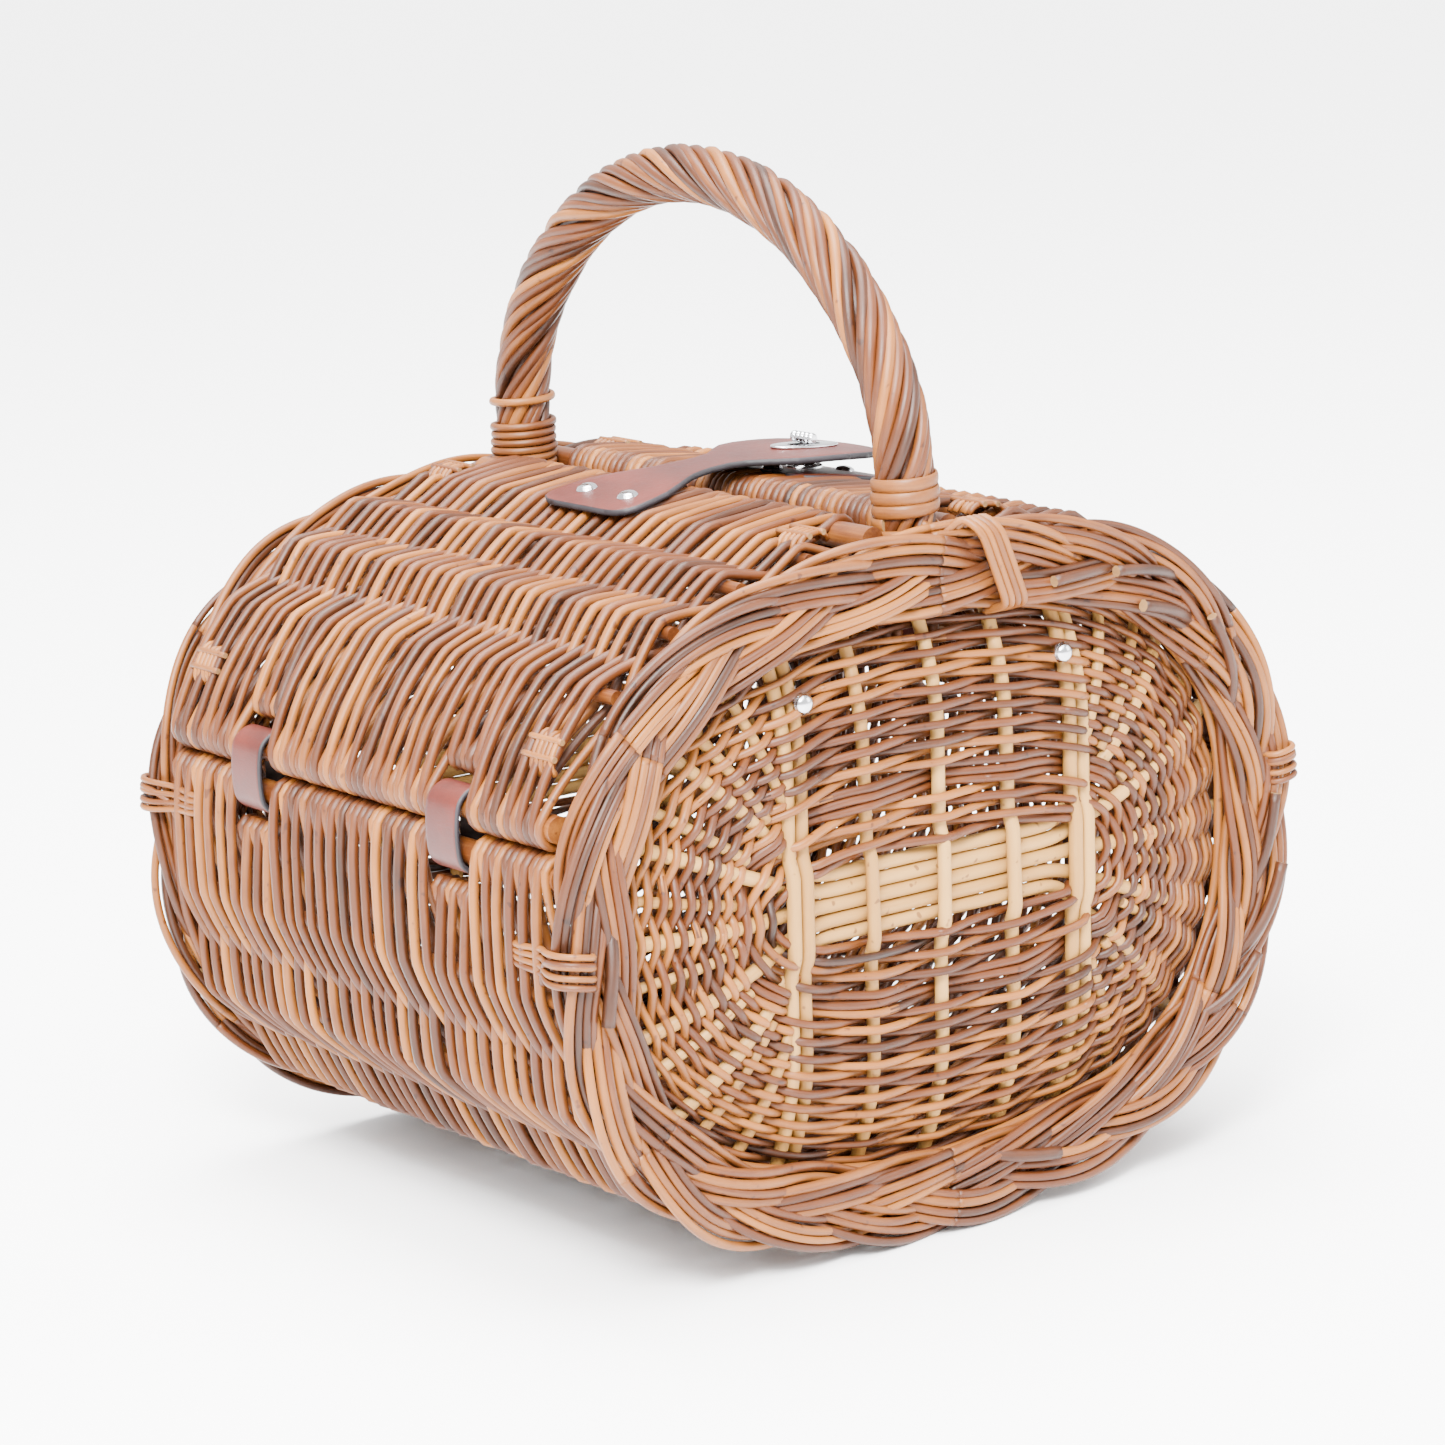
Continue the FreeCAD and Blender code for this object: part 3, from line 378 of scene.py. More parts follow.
# %% Willow finishes
def willow(name, dark, mid, light, gloss=0.42, along_rod=True):
    """A willow finish. With along_rod the grain follows the UV map, else it runs along Y."""
    wire = Wiring(name)
    place = wire.add("TexCoord")
    spot = place.outputs["Object"]
    if along_rod:
        tone = wire.add("Attribute", attribute_name="tone").outputs["Fac"]
        grain_space = wire.stretch(place.outputs["UV"], (9.0, 34.0, 1.0))
        own_place = wire.add("CombineXYZ")
        wire.join(wire.sum((tone, 97.0)), own_place.inputs["Z"])
        shift = wire.add("VectorMath", operation="ADD")
        wire.join(grain_space, shift.inputs[0])
        wire.join(own_place.outputs[0], shift.inputs[1])
        grain = wire.noise(shift.outputs[0], 1.0, 4.0, 0.6)
    else:
        tone = wire.noise(wire.stretch(spot, (90.0, 4.0, 90.0)), 1.0, 1.0)
        grain = wire.noise(wire.stretch(spot, (900.0, 40.0, 900.0)), 1.0, 4.0, 0.6)
    blotch, fine = wire.noise(spot, 55.0, 2.0), wire.noise(spot, 900.0, 2.0)
    value = wire.sum((tone, 0.74), (grain, 0.34), (blotch, 0.26))
    colour = wire.ramp(value, (0.26, dark), (0.64, mid), (1.0, light))
    buds = wire.ramp(wire.noise(spot, 210.0, 1.0), (0.70, (1, 1, 1, 1)), (0.755, (0.30, 0.20, 0.16, 1)))
    mixed = wire.add("Mix", data_type="RGBA", blend_type="MULTIPLY")
    mixed.inputs["Factor"].default_value = 0.75
    wire.join(colour, mixed.inputs["A"])
    wire.join(buds, mixed.inputs["B"])
    wire.join(mixed.outputs["Result"], wire.shader.inputs["Base Color"])
    wire.roughness(grain, gloss - 0.10, gloss + 0.16)
    wire.bump(wire.sum((grain, 1.0), (fine, 0.35)), 0.35, 0.6 * MM)
    wire.shader.inputs["Specular IOR Level"].default_value = 0.3
    return wire.material


BUFF_DARK, BUFF_MID, BUFF_LIGHT = linear(28, 10, 2), linear(78, 38, 11), linear(130, 78, 29)
PALE_DARK, PALE_MID, PALE_LIGHT = linear(108, 70, 28), linear(140, 99, 46), linear(162, 122, 66)
buff_willow = willow("buff_willow", BUFF_DARK, BUFF_MID, BUFF_LIGHT)
pale_willow = willow("peeled_willow", PALE_DARK, PALE_MID, PALE_LIGHT, gloss=0.5)
cut_willow = willow("cut_end", linear(70, 44, 24), linear(110, 78, 44), linear(140, 108, 68),
                    gloss=0.7, along_rod=False)
stick_willow = willow("stick_willow", BUFF_DARK, BUFF_MID, BUFF_LIGHT, along_rod=False)
WILLOW = (buff_willow, cut_willow)
PALE = (pale_willow, cut_willow)
print("willow finishes", [m.name for m in (buff_willow, pale_willow, cut_willow, stick_willow)])

# %% [markdown]
# ## Weaving a curved sheet
# The lids and the body are plain weave: each weaver goes over one stick and under the next,
# and its neighbour does the opposite. Seen from the end of the barrel a weaver is a zigzag
# about the sheet's middle line, with a turn round the rail at each end. So the zigzag is
# drawn flat, as distance along the sheet and height above it, and then laid on the oval.

# %% A line on the oval for the sheet's middle
STICK_RADIUS, RAIL_RADIUS = 3.0 * MM, 5.5 * MM
WEAVER_RADIUS, WEAVER_PITCH = 2.25 * MM, 4.3 * MM


class Sheet:
    """The middle line of a curved woven sheet, from the middle of one rail to the other."""

    def __init__(self, inset, start, end, clockwise):
        line, normal = OVAL - OVAL_NORMAL * inset, OVAL_NORMAL
        if not clockwise:
            line, normal = line[::-1], normal[::-1]
        first = np.argmin(np.linalg.norm(line - start, axis=1))
        line, normal = np.roll(line, -first, axis=0), np.roll(normal, -first, axis=0)
        last = np.argmin(np.linalg.norm(line - end, axis=1)) + 1
        self.line, self.normal = line[:last], normal[:last]
        self.along = reach_along(self.line)
        self.length = self.along[-1]

    def lay(self, profile, y):
        """Puts a flat profile of (distance along, height) on the sheet, at y."""
        along, height = profile[:, 0], profile[:, 1]
        held = np.clip(along, 0, self.length)
        middle = columns_at(held, self.along, self.line)
        normal = unit(columns_at(held, self.along, self.normal))
        onward = unit(np.gradient(self.line, axis=0))
        ends = np.where(along[:, None] < 0, onward[0], onward[-1])
        spot = middle + ends * (along - held)[:, None] + normal * height[:, None]
        return np.stack([spot[:, 0], np.broadcast_to(y, len(spot)), spot[:, 1] + MID_Z], axis=1)


def rail_place(node):
    """The middle of a rail's section, measured from the middle of the oval."""
    low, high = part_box(node)
    return np.array([(low.x + high.x) / 2, (low.z + high.z) / 2 - MID_Z])


body_rail, hinge_rail = rail_place("body_rail_right"), rail_place("lid_hinge_rail_right")
top_rail = rail_place("lid_top_rail_right")
FLIP = np.array([-1.0, 1.0])


def rail_inset(place):
    """How deep a rail's middle lies under the oval."""
    nearest = np.argmin(np.linalg.norm(OVAL - place, axis=1))
    return float(np.dot(OVAL[nearest] - place, OVAL_NORMAL[nearest]))


BODY_INSET, LID_INSET = rail_inset(body_rail), rail_inset(hinge_rail)
body_sheet = Sheet(BODY_INSET, body_rail, body_rail * FLIP, True)
lid_sheets = {"right": Sheet(LID_INSET, hinge_rail, top_rail, False),
              "left": Sheet(LID_INSET, hinge_rail * FLIP, top_rail * FLIP, True)}
print("body sheet", round(body_sheet.length, 3), "lid sheet", round(lid_sheets["left"].length, 3),
      "insets", round(BODY_INSET / MM, 1), round(LID_INSET / MM, 1))

# %% [markdown]
# Where a leather loop holds the rail there is no room to turn round it, so there the weavers
# turn short of it. Near both ends of a lid's top rail they only dip down and stop before it.

# %% Weavers from rail to rail
BODY_STICKS, LID_STICKS, LID_STICK_START = 11, 4, 20 * MM
LID_HALF_LENGTH, TOP_RAIL_WRAPPED, CORNER_GAP = 138.6 * MM, 116 * MM, 13 * MM
LOOP_PLACE, LOOP_HALF = 73 * MM, 13.8 * MM
LOOP_GAP, LOOP_TURN = 18 * MM, 4.6 * MM
WEAVE_SLACK, WEAVE_DROP, WEAVE_BEND = 2.0 * MM, 1.2 * MM, 1.3 * MM


def wrap(centre, radius, start, end, count=14):
    """Points of a turn round a rail, between two angles in degrees."""
    angle = np.radians(np.linspace(start, end, count))
    return [(centre + radius * math.cos(a), radius * math.sin(a)) for a in angle]


def weaver_profile(sticks, over, side, starts, ends):
    """One weaver seen from the barrel's end; starts and ends say how it turns at each rail."""
    centre, reach = starts
    points = wrap(centre, reach, 300, 100)
    for stick in sticks:
        if centre + reach < stick < ends[0] - 2 * MM:
            points.append((stick, side * over))
        side = -side
    if ends[1]:
        points += wrap(ends[0], ends[1], 80, -120)
    else:
        points.append((ends[0], -0.6 * over))
    spacing = 0.8 * MM
    return soften(resample(points, spacing), WEAVE_BEND, spacing)


def weave_sheet(name, sheet, half_length, stick_count, loops_at_end, full_reach=None, first=0.0):
    """All the weavers of one sheet; its sticks are evenly spaced from first to the far rail."""
    pace = (sheet.length - first) / (stick_count + 1)
    sticks = [first + pace * (k + 1) for k in range(stick_count)]
    count = int(2 * half_length / WEAVER_PITCH)
    over = STICK_RADIUS + WEAVER_RADIUS + WEAVE_SLACK
    turn = RAIL_RADIUS + WEAVER_RADIUS
    rods = []
    for k in range(count):
        y = (k - (count - 1) / 2) * WEAVER_PITCH
        side = 1 if k % 2 else -1
        near_loop = min(abs(y - LOOP_PLACE), abs(y + LOOP_PLACE)) < LOOP_HALF
        starts, ends = (0.0, turn), (sheet.length, turn)
        if near_loop:
            starts = (LOOP_GAP, LOOP_TURN)
        if near_loop and loops_at_end:
            ends = (sheet.length - LOOP_GAP, LOOP_TURN)
        if full_reach and abs(y) > full_reach:
            ends = (sheet.length - CORNER_GAP, 0.0)
        radius = WEAVER_RADIUS * random.uniform(0.86, 1.06)
        profile = weaver_profile(sticks, over, side, starts, ends)
        profile = resample(profile, 3.0 * MM if sheet.length < 0.4 else 3.7 * MM)
        share = np.linspace(0, 1, len(profile))
        sway = 0.45 * MM * np.sin(share * random.uniform(9, 22) + random.uniform(0, 6))
        lift = 0.35 * MM * np.sin(share * random.uniform(12, 30) + random.uniform(0, 6))
        profile[:, 1] += lift - WEAVE_DROP
        path = sheet.lay(profile, y + sway + random.uniform(-0.25, 0.25) * MM)
        thick = radius * (1 + 0.07 * np.sin(share * 11 + random.uniform(0, 6)))
        rods.append(dict(path=path, radius=thick, lean=(0, 1, 0), tone=random.beta(2.2, 2.2)))
    return rod_mesh(name, rods, sides=7)


weavers = weave_sheet("body_weavers", body_sheet, BORDER_BACK - 1 * MM, BODY_STICKS, True)
finish_piece(weavers, "basket", "willow", WILLOW, "body_wall")
for side in ("left", "right"):
    lid = weave_sheet(f"lid_{side}_weavers", lid_sheets[side], LID_HALF_LENGTH, LID_STICKS, False,
                      TOP_RAIL_WRAPPED, LID_STICK_START)
    finish_piece(lid, f"lid_{side}", "willow", WILLOW, f"lid_weave_{side}")

# %% [markdown]
# ## Rails and sticks
# These CAD rods already have their true shape, so they stay and only get willow.

# %% Finish the carried rods
def dress(node, material):
    """Gives a CAD node one material in place of what it has."""
    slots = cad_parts[node].data.materials
    slots.clear()
    slots.append(material)


for side in ("left", "right"):
    for rod in ("body_rail", "lid_hinge_rail", "lid_top_rail", "lid_sticks"):
        dress(f"{rod}_{side}", stick_willow)
for node in ("body_sticks", "handle_ends", "handle_core"):
    dress(node, stick_willow)

# %% [markdown]
# ## Domed end panels
# Each panel starts from a slath: five peeled rods side by side, crossed by peeled stakes.
# The rods fan out at both ends, extra stakes are pushed in between them, and weavers then go
# round and round to the border. Here each round is its own ring, between a flat oval round
# the slath and the border's oval, and the ring goes over and under wherever a stake crosses it.

# %% The dome of a panel
PANEL_FACE = BORDER_BACK - 7 * MM
DOME_RISE = 15.5 * MM
BORDER_DEPTH, FLAT_DEPTH = 38 * MM, 98 * MM
PANEL_WEAVER = 1.9 * MM
LAYER = 3.1 * MM
SLATH_HALF, WINDOW_HALF = 80 * MM, 16.5 * MM


def oval_inset(x, z):
    """How far points of the section lie inside the outer oval."""
    x, z = np.abs(x), np.abs(z)
    from_x, from_z = x - CORNER[0], z - CORNER[1]
    angle = np.arctan2(from_z, from_x)
    crown = CROWN_RADIUS - np.hypot(x, z + CROWN_RADIUS - HALF_HEIGHT)
    flank = FLANK_RADIUS - np.hypot(x + FLANK_RADIUS - HALF_WIDTH, z)
    corner = CORNER_RADIUS - np.hypot(from_x, from_z)
    side = np.where(angle < FLANK_ANGLE, flank, corner)
    return np.where((from_x <= 0) | (angle > CROWN_ANGLE), crown, side)


def dome(x, z):
    """Distance of the panel's middle from the basket's middle."""
    share = np.clip((oval_inset(x, z) - BORDER_DEPTH + 12 * MM) / (FLAT_DEPTH - BORDER_DEPTH), 0, 1)
    return PANEL_FACE - 2 * MM + (DOME_RISE + 2 * MM) * np.sin(share * math.pi / 2)


def smooth_step(value, low, high):
    """0 below low, 1 above high and a smooth rise between them."""
    share = np.clip((value - low) / (high - low), 0, 1)
    return share * share * (3 - 2 * share)


def on_panel(x, z, height, end):
    """Points on the panel at a height above its middle; end is -1 at the front."""
    x, z = np.broadcast_arrays(np.asarray(x, float), np.asarray(z, float))
    return np.stack([x, end * (dome(x, z) + height), z + MID_Z], axis=1)


# %% [markdown]
# The upright stakes are given by their place and by half the distance between the two of a
# pair. Slath rods and pushed-in stakes are rays: each has a start, an angle and the distance
# from that start at which it comes out between its neighbours.

# %% Where the stakes run
FAN_START, FAN_STEP, SLATH_PITCH = 66 * MM, math.radians(22), 6.4 * MM
BYE_PITCH, BYE_INNER, BYE_RADIUS = 3.4 * MM, 40 * MM, 2.5 * MM
STAKE_PITCH, PAIR_HALF = 38 * MM, 3.3 * MM
LAST_STAKE = 2 * STAKE_PITCH - 1 * MM
UPRIGHTS = ((-LAST_STAKE, PAIR_HALF), (-STAKE_PITCH, 0.0), (0.0, 0.0), (STAKE_PITCH, 0.0),
            (LAST_STAKE, PAIR_HALF))
STAKE_END = 26 * MM


def rays(ranks, pitch, inner):
    """Stakes that fan out to both sides, one for each rank."""
    return [dict(x=FAN_START, z=rank * pitch, angle=rank * FAN_STEP, way=way, inner=inner)
            for way in (-1, 1) for rank in ranks]


fan = rays(range(-2, 3), SLATH_PITCH, 0.0)
bye = rays((-3.1, -2.5, -1.5, -0.5, 0.5, 1.5, 2.5, 3.1), BYE_PITCH, BYE_INNER)


def offsets(pair):
    """Where the stakes of a pair, or a single one, stand beside their place."""
    return (-pair, pair) if pair else (0.0,)


def stake_line(stake):
    """A straight stake in the section, from its inner end out to the border."""
    reach = np.arange(stake["inner"], 0.25, 1.5 * MM)
    x = stake["x"] + reach * math.cos(stake["angle"])
    z = stake["z"] + reach * math.sin(stake["angle"])
    keep = oval_inset(x, z) > STAKE_END
    return np.stack([x[keep] * stake["way"], z[keep]], axis=1)


# %% Make the stakes
def panel_stakes(place, end):
    """The upright stakes, the slath rods and the pushed-in stakes of one panel."""
    rods = []
    for x, pair in UPRIGHTS:
        for off in offsets(pair):
            z = np.arange(-140, 140.5, 1.5) * MM
            z = z[oval_inset(x + off, z) > 24 * MM]
            height = LAYER * (1 - smooth_step(np.abs(z), WINDOW_HALF - 1 * MM, WINDOW_HALF + 9 * MM))
            lean_x = x + off + 0.8 * MM * np.sin(z * 17 + x * 90)
            rods.append(dict(path=resample(on_panel(lean_x, z, height, end), 4 * MM),
                             radius=STICK_RADIUS * random.uniform(0.93, 1.05),
                             tone=random.uniform(0.3, 0.9)))
    uprights = rod_mesh(f"upright_rods_{place}", rods, sides=12)
    finish_piece(uprights, "basket", "peeled_willow", PALE, f"upright_stakes_{place}")
    rods = []
    for left, right in zip(fan[:5], fan[5:]):
        line = np.concatenate([stake_line(left)[::-1], stake_line(right)])
        line = resample(line, 2 * MM)
        x, z = soften(line, 7 * MM, 2 * MM).T
        height = -LAYER * (1 - smooth_step(np.abs(x), SLATH_HALF + 2 * MM, SLATH_HALF + 14 * MM))
        rods.append(dict(path=resample(on_panel(x, z, height, end), 4 * MM),
                         radius=STICK_RADIUS * random.uniform(0.98, 1.06),
                         tone=random.uniform(0.45, 1.0)))
    slath = rod_mesh(f"slath_{place}", rods, sides=12)
    finish_piece(slath, "basket", "peeled_willow", PALE, f"slath_rods_{place}")
    rods = []
    for stake in bye:
        x, z = stake_line(stake).T
        rods.append(dict(path=resample(on_panel(x, z, 0.0, end), 5 * MM),
                         radius=BYE_RADIUS * random.uniform(0.9, 1.05),
                         tone=random.uniform(0.2, 0.8)))
    pushed = rod_mesh(f"pushed_stakes_{place}", rods, sides=8)
    finish_piece(pushed, "basket", "willow", PALE, f"bye_stakes_{place}")


# %% [markdown]
# A ring's height is worked out from the stakes that it meets. They are found in their order
# round the ring and taken in turn, one over and one under, and the next ring starts with the
# other one. A ring is cut into two or three lengths, as a weaver has to be replaced in time.

# %% Rings of weavers
ROUNDS, THIN_ROUNDS = 27, 5


def ring_outline(share, count=1200):
    """The ring's outline in the section, from the slath (0) to the border (1)."""
    inner = np.array([SLATH_HALF + 6 * MM, WINDOW_HALF + 3 * MM])
    outer = np.array([HALF_WIDTH - BORDER_DEPTH + 5 * MM, HALF_HEIGHT - BORDER_DEPTH + 5 * MM])
    half = inner + (outer - inner) * share
    power = 2 / (3.0 - 0.58 * share)
    turn = np.linspace(0, 2 * math.pi, count, endpoint=False)
    x = half[0] * np.sign(np.cos(turn)) * np.abs(np.cos(turn)) ** power
    z = half[1] * np.sign(np.sin(turn)) * np.abs(np.sin(turn)) ** power
    line = np.stack([x, z], axis=1)
    closed = resample(np.concatenate([line, line[:1]]), 1 * MM)
    return closed[:-1]


def crossings(outline):
    """Where the ring meets the stakes, as places along the ring, in order."""
    x, z = outline.T
    found = []
    for centre, pair in UPRIGHTS:
        for way in (-1, 1):
            half = np.where(z * way > 0, np.abs(x - centre), 1)
            found.append((int(np.argmin(half)), pair))
    for stake in fan + bye:
        dx, dz = x * stake["way"] - stake["x"], z - stake["z"]
        c, s = math.cos(stake["angle"]), math.sin(stake["angle"])
        ahead, aside = dx * c + dz * s, np.abs(dz * c - dx * s)
        spot = int(np.argmin(np.where(ahead > 0, aside, 1)))
        if ahead[spot] > stake["inner"] - 1 * MM:
            found.append((spot, 0))
    return sorted(found)


def ring_height(outline, phase):
    """Height of the ring above the panel's middle all the way round."""
    knots, heights = [], []
    over = STICK_RADIUS * 0.86 + PANEL_WEAVER
    for k, (spot, pair) in enumerate(crossings(outline)):
        side = 1 if (k + phase) % 2 else -1
        for off in offsets(pair):
            knots.append(spot + off / MM)
            heights.append(side * over)
    order = np.argsort(knots)
    knots, heights = np.array(knots)[order], np.array(heights)[order]
    total = len(outline)
    knots = np.concatenate([knots - total, knots, knots + total])
    heights = np.tile(heights, 3)
    height = np.interp(np.arange(total), knots, heights)
    width = 8
    weight = np.exp(-0.5 * (np.arange(-width, width + 1) / 2.2) ** 2)
    joined = np.concatenate([height[-width:], height, height[:width]])
    return np.convolve(joined, weight / weight.sum(), "valid")


def panel_weave(place, end):
    """All the rings of weavers of one panel."""
    rods = []
    for k in range(ROUNDS):
        share = (k / (ROUNDS - 1)) ** 0.94
        outline = ring_outline(share)
        height = ring_height(outline, k % 2)
        turn = np.arange(len(outline)) * 2 * math.pi / len(outline)
        wobble = 0.35 * MM * np.sin(turn * random.integers(5, 13) + random.uniform(0, 6))
        x, z = (outline + unit(outline) * wobble[:, None]).T
        path = on_panel(x, z, height + 0.4 * wobble, end)[::3]
        radius = PANEL_WEAVER * (1.0 if k < ROUNDS - THIN_ROUNDS else 0.86) * random.uniform(0.9, 1.05)
        pieces = int(random.integers(2, 4))
        cut = random.integers(0, len(path))
        path = np.roll(path, -cut, axis=0)
        joints = np.linspace(0, len(path), pieces + 1).astype(int)
        for low, high in zip(joints[:-1], joints[1:]):
            stretch = path[low:high + 3]
            if high + 3 > len(path):
                stretch = np.concatenate([path[low:], path[:2]])
            rods.append(dict(path=stretch, radius=radius, tone=random.beta(2.2, 2.6)))
    weave = rod_mesh(f"panel_weavers_{place}", rods, sides=7)
    finish_piece(weave, "basket", "willow", WILLOW, f"end_panel_{place}")


for place, end in ENDS:
    panel_stakes(place, end)
    panel_weave(place, end)

# %% [markdown]
# ## Plaited borders
# The border is a flat plait of five strands, four rods in each, laid round the oval. Every
# strand swings slowly from edge to edge, over two others to the middle and under the next two
# to the far edge, so a sine gives the swing and a sine of twice the pace the depth.
# The rods of a strand keep their order, side by side, along the strand's own direction.

# %% A line and its normals round the border
STRANDS, BORDER_SWINGS, STRAND_RODS = 5, 4, 4
SWING, DIVE = 10.8 * MM, 4.4 * MM
BORDER_ROD, BORDER_MIDDLE = 2.05 * MM, 19.2 * MM
CUT_ENDS = 9


def even_border():
    """The border's middle line with evenly spaced points, and its normals."""
    both = np.concatenate([OVAL - OVAL_NORMAL * BORDER_MIDDLE, OVAL_NORMAL], axis=1)
    both = np.concatenate([both, both[:1]])
    reach = reach_along(both[:, :2])
    even = columns_at(np.linspace(0, reach[-1], 1201)[:-1], reach, both)
    return even[:, :2], even[:, 2:], reach[-1]


BORDER_LINE, BORDER_NORMAL, BORDER_ROUND = even_border()


def border_point(turn, wide, deep, end):
    """A point of the border: turn runs 0 to 1 round it, wide is outwards, deep to the front."""
    index = (np.asarray(turn) % 1.0) * len(BORDER_LINE)
    whole = np.arange(len(BORDER_LINE) + 1)
    line = np.concatenate([BORDER_LINE, BORDER_LINE[:1]])
    normal = np.concatenate([BORDER_NORMAL, BORDER_NORMAL[:1]])
    middle, outward = columns_at(index, whole, line), unit(columns_at(index, whole, normal))
    spot = middle + outward * np.broadcast_to(wide, len(middle))[:, None]
    y = end * ((BARREL_END + BORDER_BACK) / 2 + np.broadcast_to(deep, len(middle)))
    return np.stack([spot[:, 0], y, spot[:, 1] + MID_Z], axis=1)


# %% Plait both borders
def plaited_rods(turn, end):
    """The strands' rods, each cut into six lengths that have their own tones."""
    rods = []
    for strand in range(STRANDS):
        drift = 0.10 * np.sin(2 * math.pi * (turn * random.integers(2, 5) + random.uniform(0, 1)))
        phase = 2 * math.pi * (BORDER_SWINGS * turn + strand / STRANDS) + drift
        swing = SWING * (1 + 0.06 * np.sin(2 * math.pi * turn * random.integers(3, 7)))
        wide, deep = swing * np.sin(phase), -DIVE * np.sin(2 * phase)
        slope = SWING * np.cos(phase) * 2 * math.pi * BORDER_SWINGS / BORDER_ROUND
        run = 1 / np.sqrt(1 + slope ** 2)
        for k in range(STRAND_RODS):
            spread = 1 + 0.10 * np.sin(2 * math.pi * turn * random.integers(4, 9) + strand)
            off = (k - (STRAND_RODS - 1) / 2) * 1.94 * BORDER_ROD * spread
            wave = 2 * math.pi * turn * random.integers(6, 12) + random.uniform(0, 6)
            sway = 0.55 * MM * np.sin(wave)
            arch = 0.8 * MM * (1 - (2 * k / (STRAND_RODS - 1) - 1) ** 2)
            path = border_point(turn - off * slope * run / BORDER_ROUND, wide + off * run + sway,
                                deep + arch + 0.7 * sway, end)
            radius = BORDER_ROD * random.uniform(0.86, 1.06)
            joints = np.linspace(0, len(turn), 7).astype(int)
            for low, high in zip(joints[:-1], joints[1:]):
                rods.append(dict(path=path[low:high + 1], radius=radius, tone=random.beta(2.0, 2.0)))
    return rods


def plait(place, end):
    """One border: the plait, four rods behind it that fill its gaps, and thick cut ends."""
    turn = np.linspace(0, 1, 400)
    rods = plaited_rods(turn, end)
    for k, wide in enumerate((-14.0, -7.0, 1.0, 9.0)):
        path = border_point(turn, wide * MM + 0.8 * MM * np.sin(turn * 40 + k), -7.6 * MM, end)
        rods.append(dict(path=path, radius=BORDER_ROD, tone=random.beta(2, 2.4)))
    for _ in range(CUT_ENDS):
        start, reach = random.uniform(0, 1), random.uniform(26, 48) * MM / BORDER_ROUND
        along = np.linspace(0, 1, 12)
        wide = random.uniform(-9, 6) * MM + random.choice([-1, 1]) * 9 * MM * (along - 0.5)
        deep = (8.6 - 9.0 * along ** 3) * MM
        rods.append(dict(path=border_point(start + along * reach, wide, deep, end),
                         radius=random.uniform(2.3, 2.9) * MM, tone=random.uniform(0.05, 0.3)))
    braid = rod_mesh(f"plait_{place}", rods, sides=8)
    finish_piece(braid, "basket", "willow", WILLOW, f"border_{place}")


for place, end in ENDS:
    plait(place, end)

# %% [markdown]
# ## The twisted handle
# A bow of thick willow is wound with a layer of rods that all turn the same way, like the
# strands of a rope. The bow's middle line is two legs, two shoulders and a crown, and each
# rod is a helix on it.

# %% Twist the handle
HANDLE_REACH, SHOULDER, CORNER_BEND = 134 * MM, 315 * MM, 95 * MM
handle_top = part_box("handle_rope")[1].z
HANDLE_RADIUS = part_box("handle_rope")[1].x
CROWN_LINE = handle_top - HANDLE_RADIUS
HANDLE_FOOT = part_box("handle_rope")[0].z
ROPE_RODS, ROPE_ROD, ROPE_TURN, ROPE_STEP = 13, 2.55 * MM, 128 * MM, 3.2 * MM
BOW_RADIUS = 8.6 * MM


def handle_line():
    """The bow's middle line in Y and Z, from the front foot to the back foot."""
    offset = HANDLE_REACH - CORNER_BEND
    rise = CROWN_LINE - SHOULDER
    crown = (offset ** 2 + rise ** 2 - CORNER_BEND ** 2) / (2 * (rise - CORNER_BEND))
    middle = CROWN_LINE - crown
    tangent = math.atan2(SHOULDER - middle, offset)
    points = [(HANDLE_REACH, HANDLE_FOOT)]
    points += [(offset + CORNER_BEND * math.cos(a), SHOULDER + CORNER_BEND * math.sin(a))
               for a in np.linspace(0, tangent, 30)]
    points += [(crown * math.cos(a), middle + crown * math.sin(a))
               for a in np.linspace(tangent, math.pi / 2, 40)[1:]]
    back_half = np.array(points)
    front_half = back_half[::-1] * (-1, 1)
    return resample(np.concatenate([back_half, front_half[1:]])[::-1], ROPE_STEP)


def rope():
    """The rods twisted round the bow, and the bow that they hide."""
    line = handle_line()
    path = np.stack([np.zeros(len(line)), line[:, 0], line[:, 1]], axis=1)
    along = tangents(path, False)
    side = np.array([1.0, 0.0, 0.0])
    over = unit(np.cross(along, side))
    reach = np.arange(len(path)) * ROPE_STEP
    rods = []
    for k in range(ROPE_RODS):
        drift = 0.12 * np.sin(reach * random.uniform(8, 20) + random.uniform(0, 6))
        angle = 2 * math.pi * (k / ROPE_RODS + reach / ROPE_TURN) + drift
        out = HANDLE_RADIUS - ROPE_ROD + random.uniform(-0.3, 0.25) * MM
        spot = path + out * (np.cos(angle)[:, None] * side + np.sin(angle)[:, None] * over)
        rods.append(dict(path=spot, radius=ROPE_ROD * random.uniform(0.92, 1.1),
                         tone=random.beta(2.2, 2.2)))
    rods.append(dict(path=path, radius=BOW_RADIUS, tone=0.1))
    piece = rod_mesh("handle_twist", rods, sides=9)
    finish_piece(piece, "basket", "willow", WILLOW, "handle_rope")


rope()

# %% [markdown]
# ## Bindings and ties
# Split willow, called skein, is flat on one side. It binds the feet of the handle in close
# turns. Thin whole rods lash the borders to the body and the lids' corners to their rails.
# All are rods again; for skein the circle is pressed flat and its broad side follows the leg.

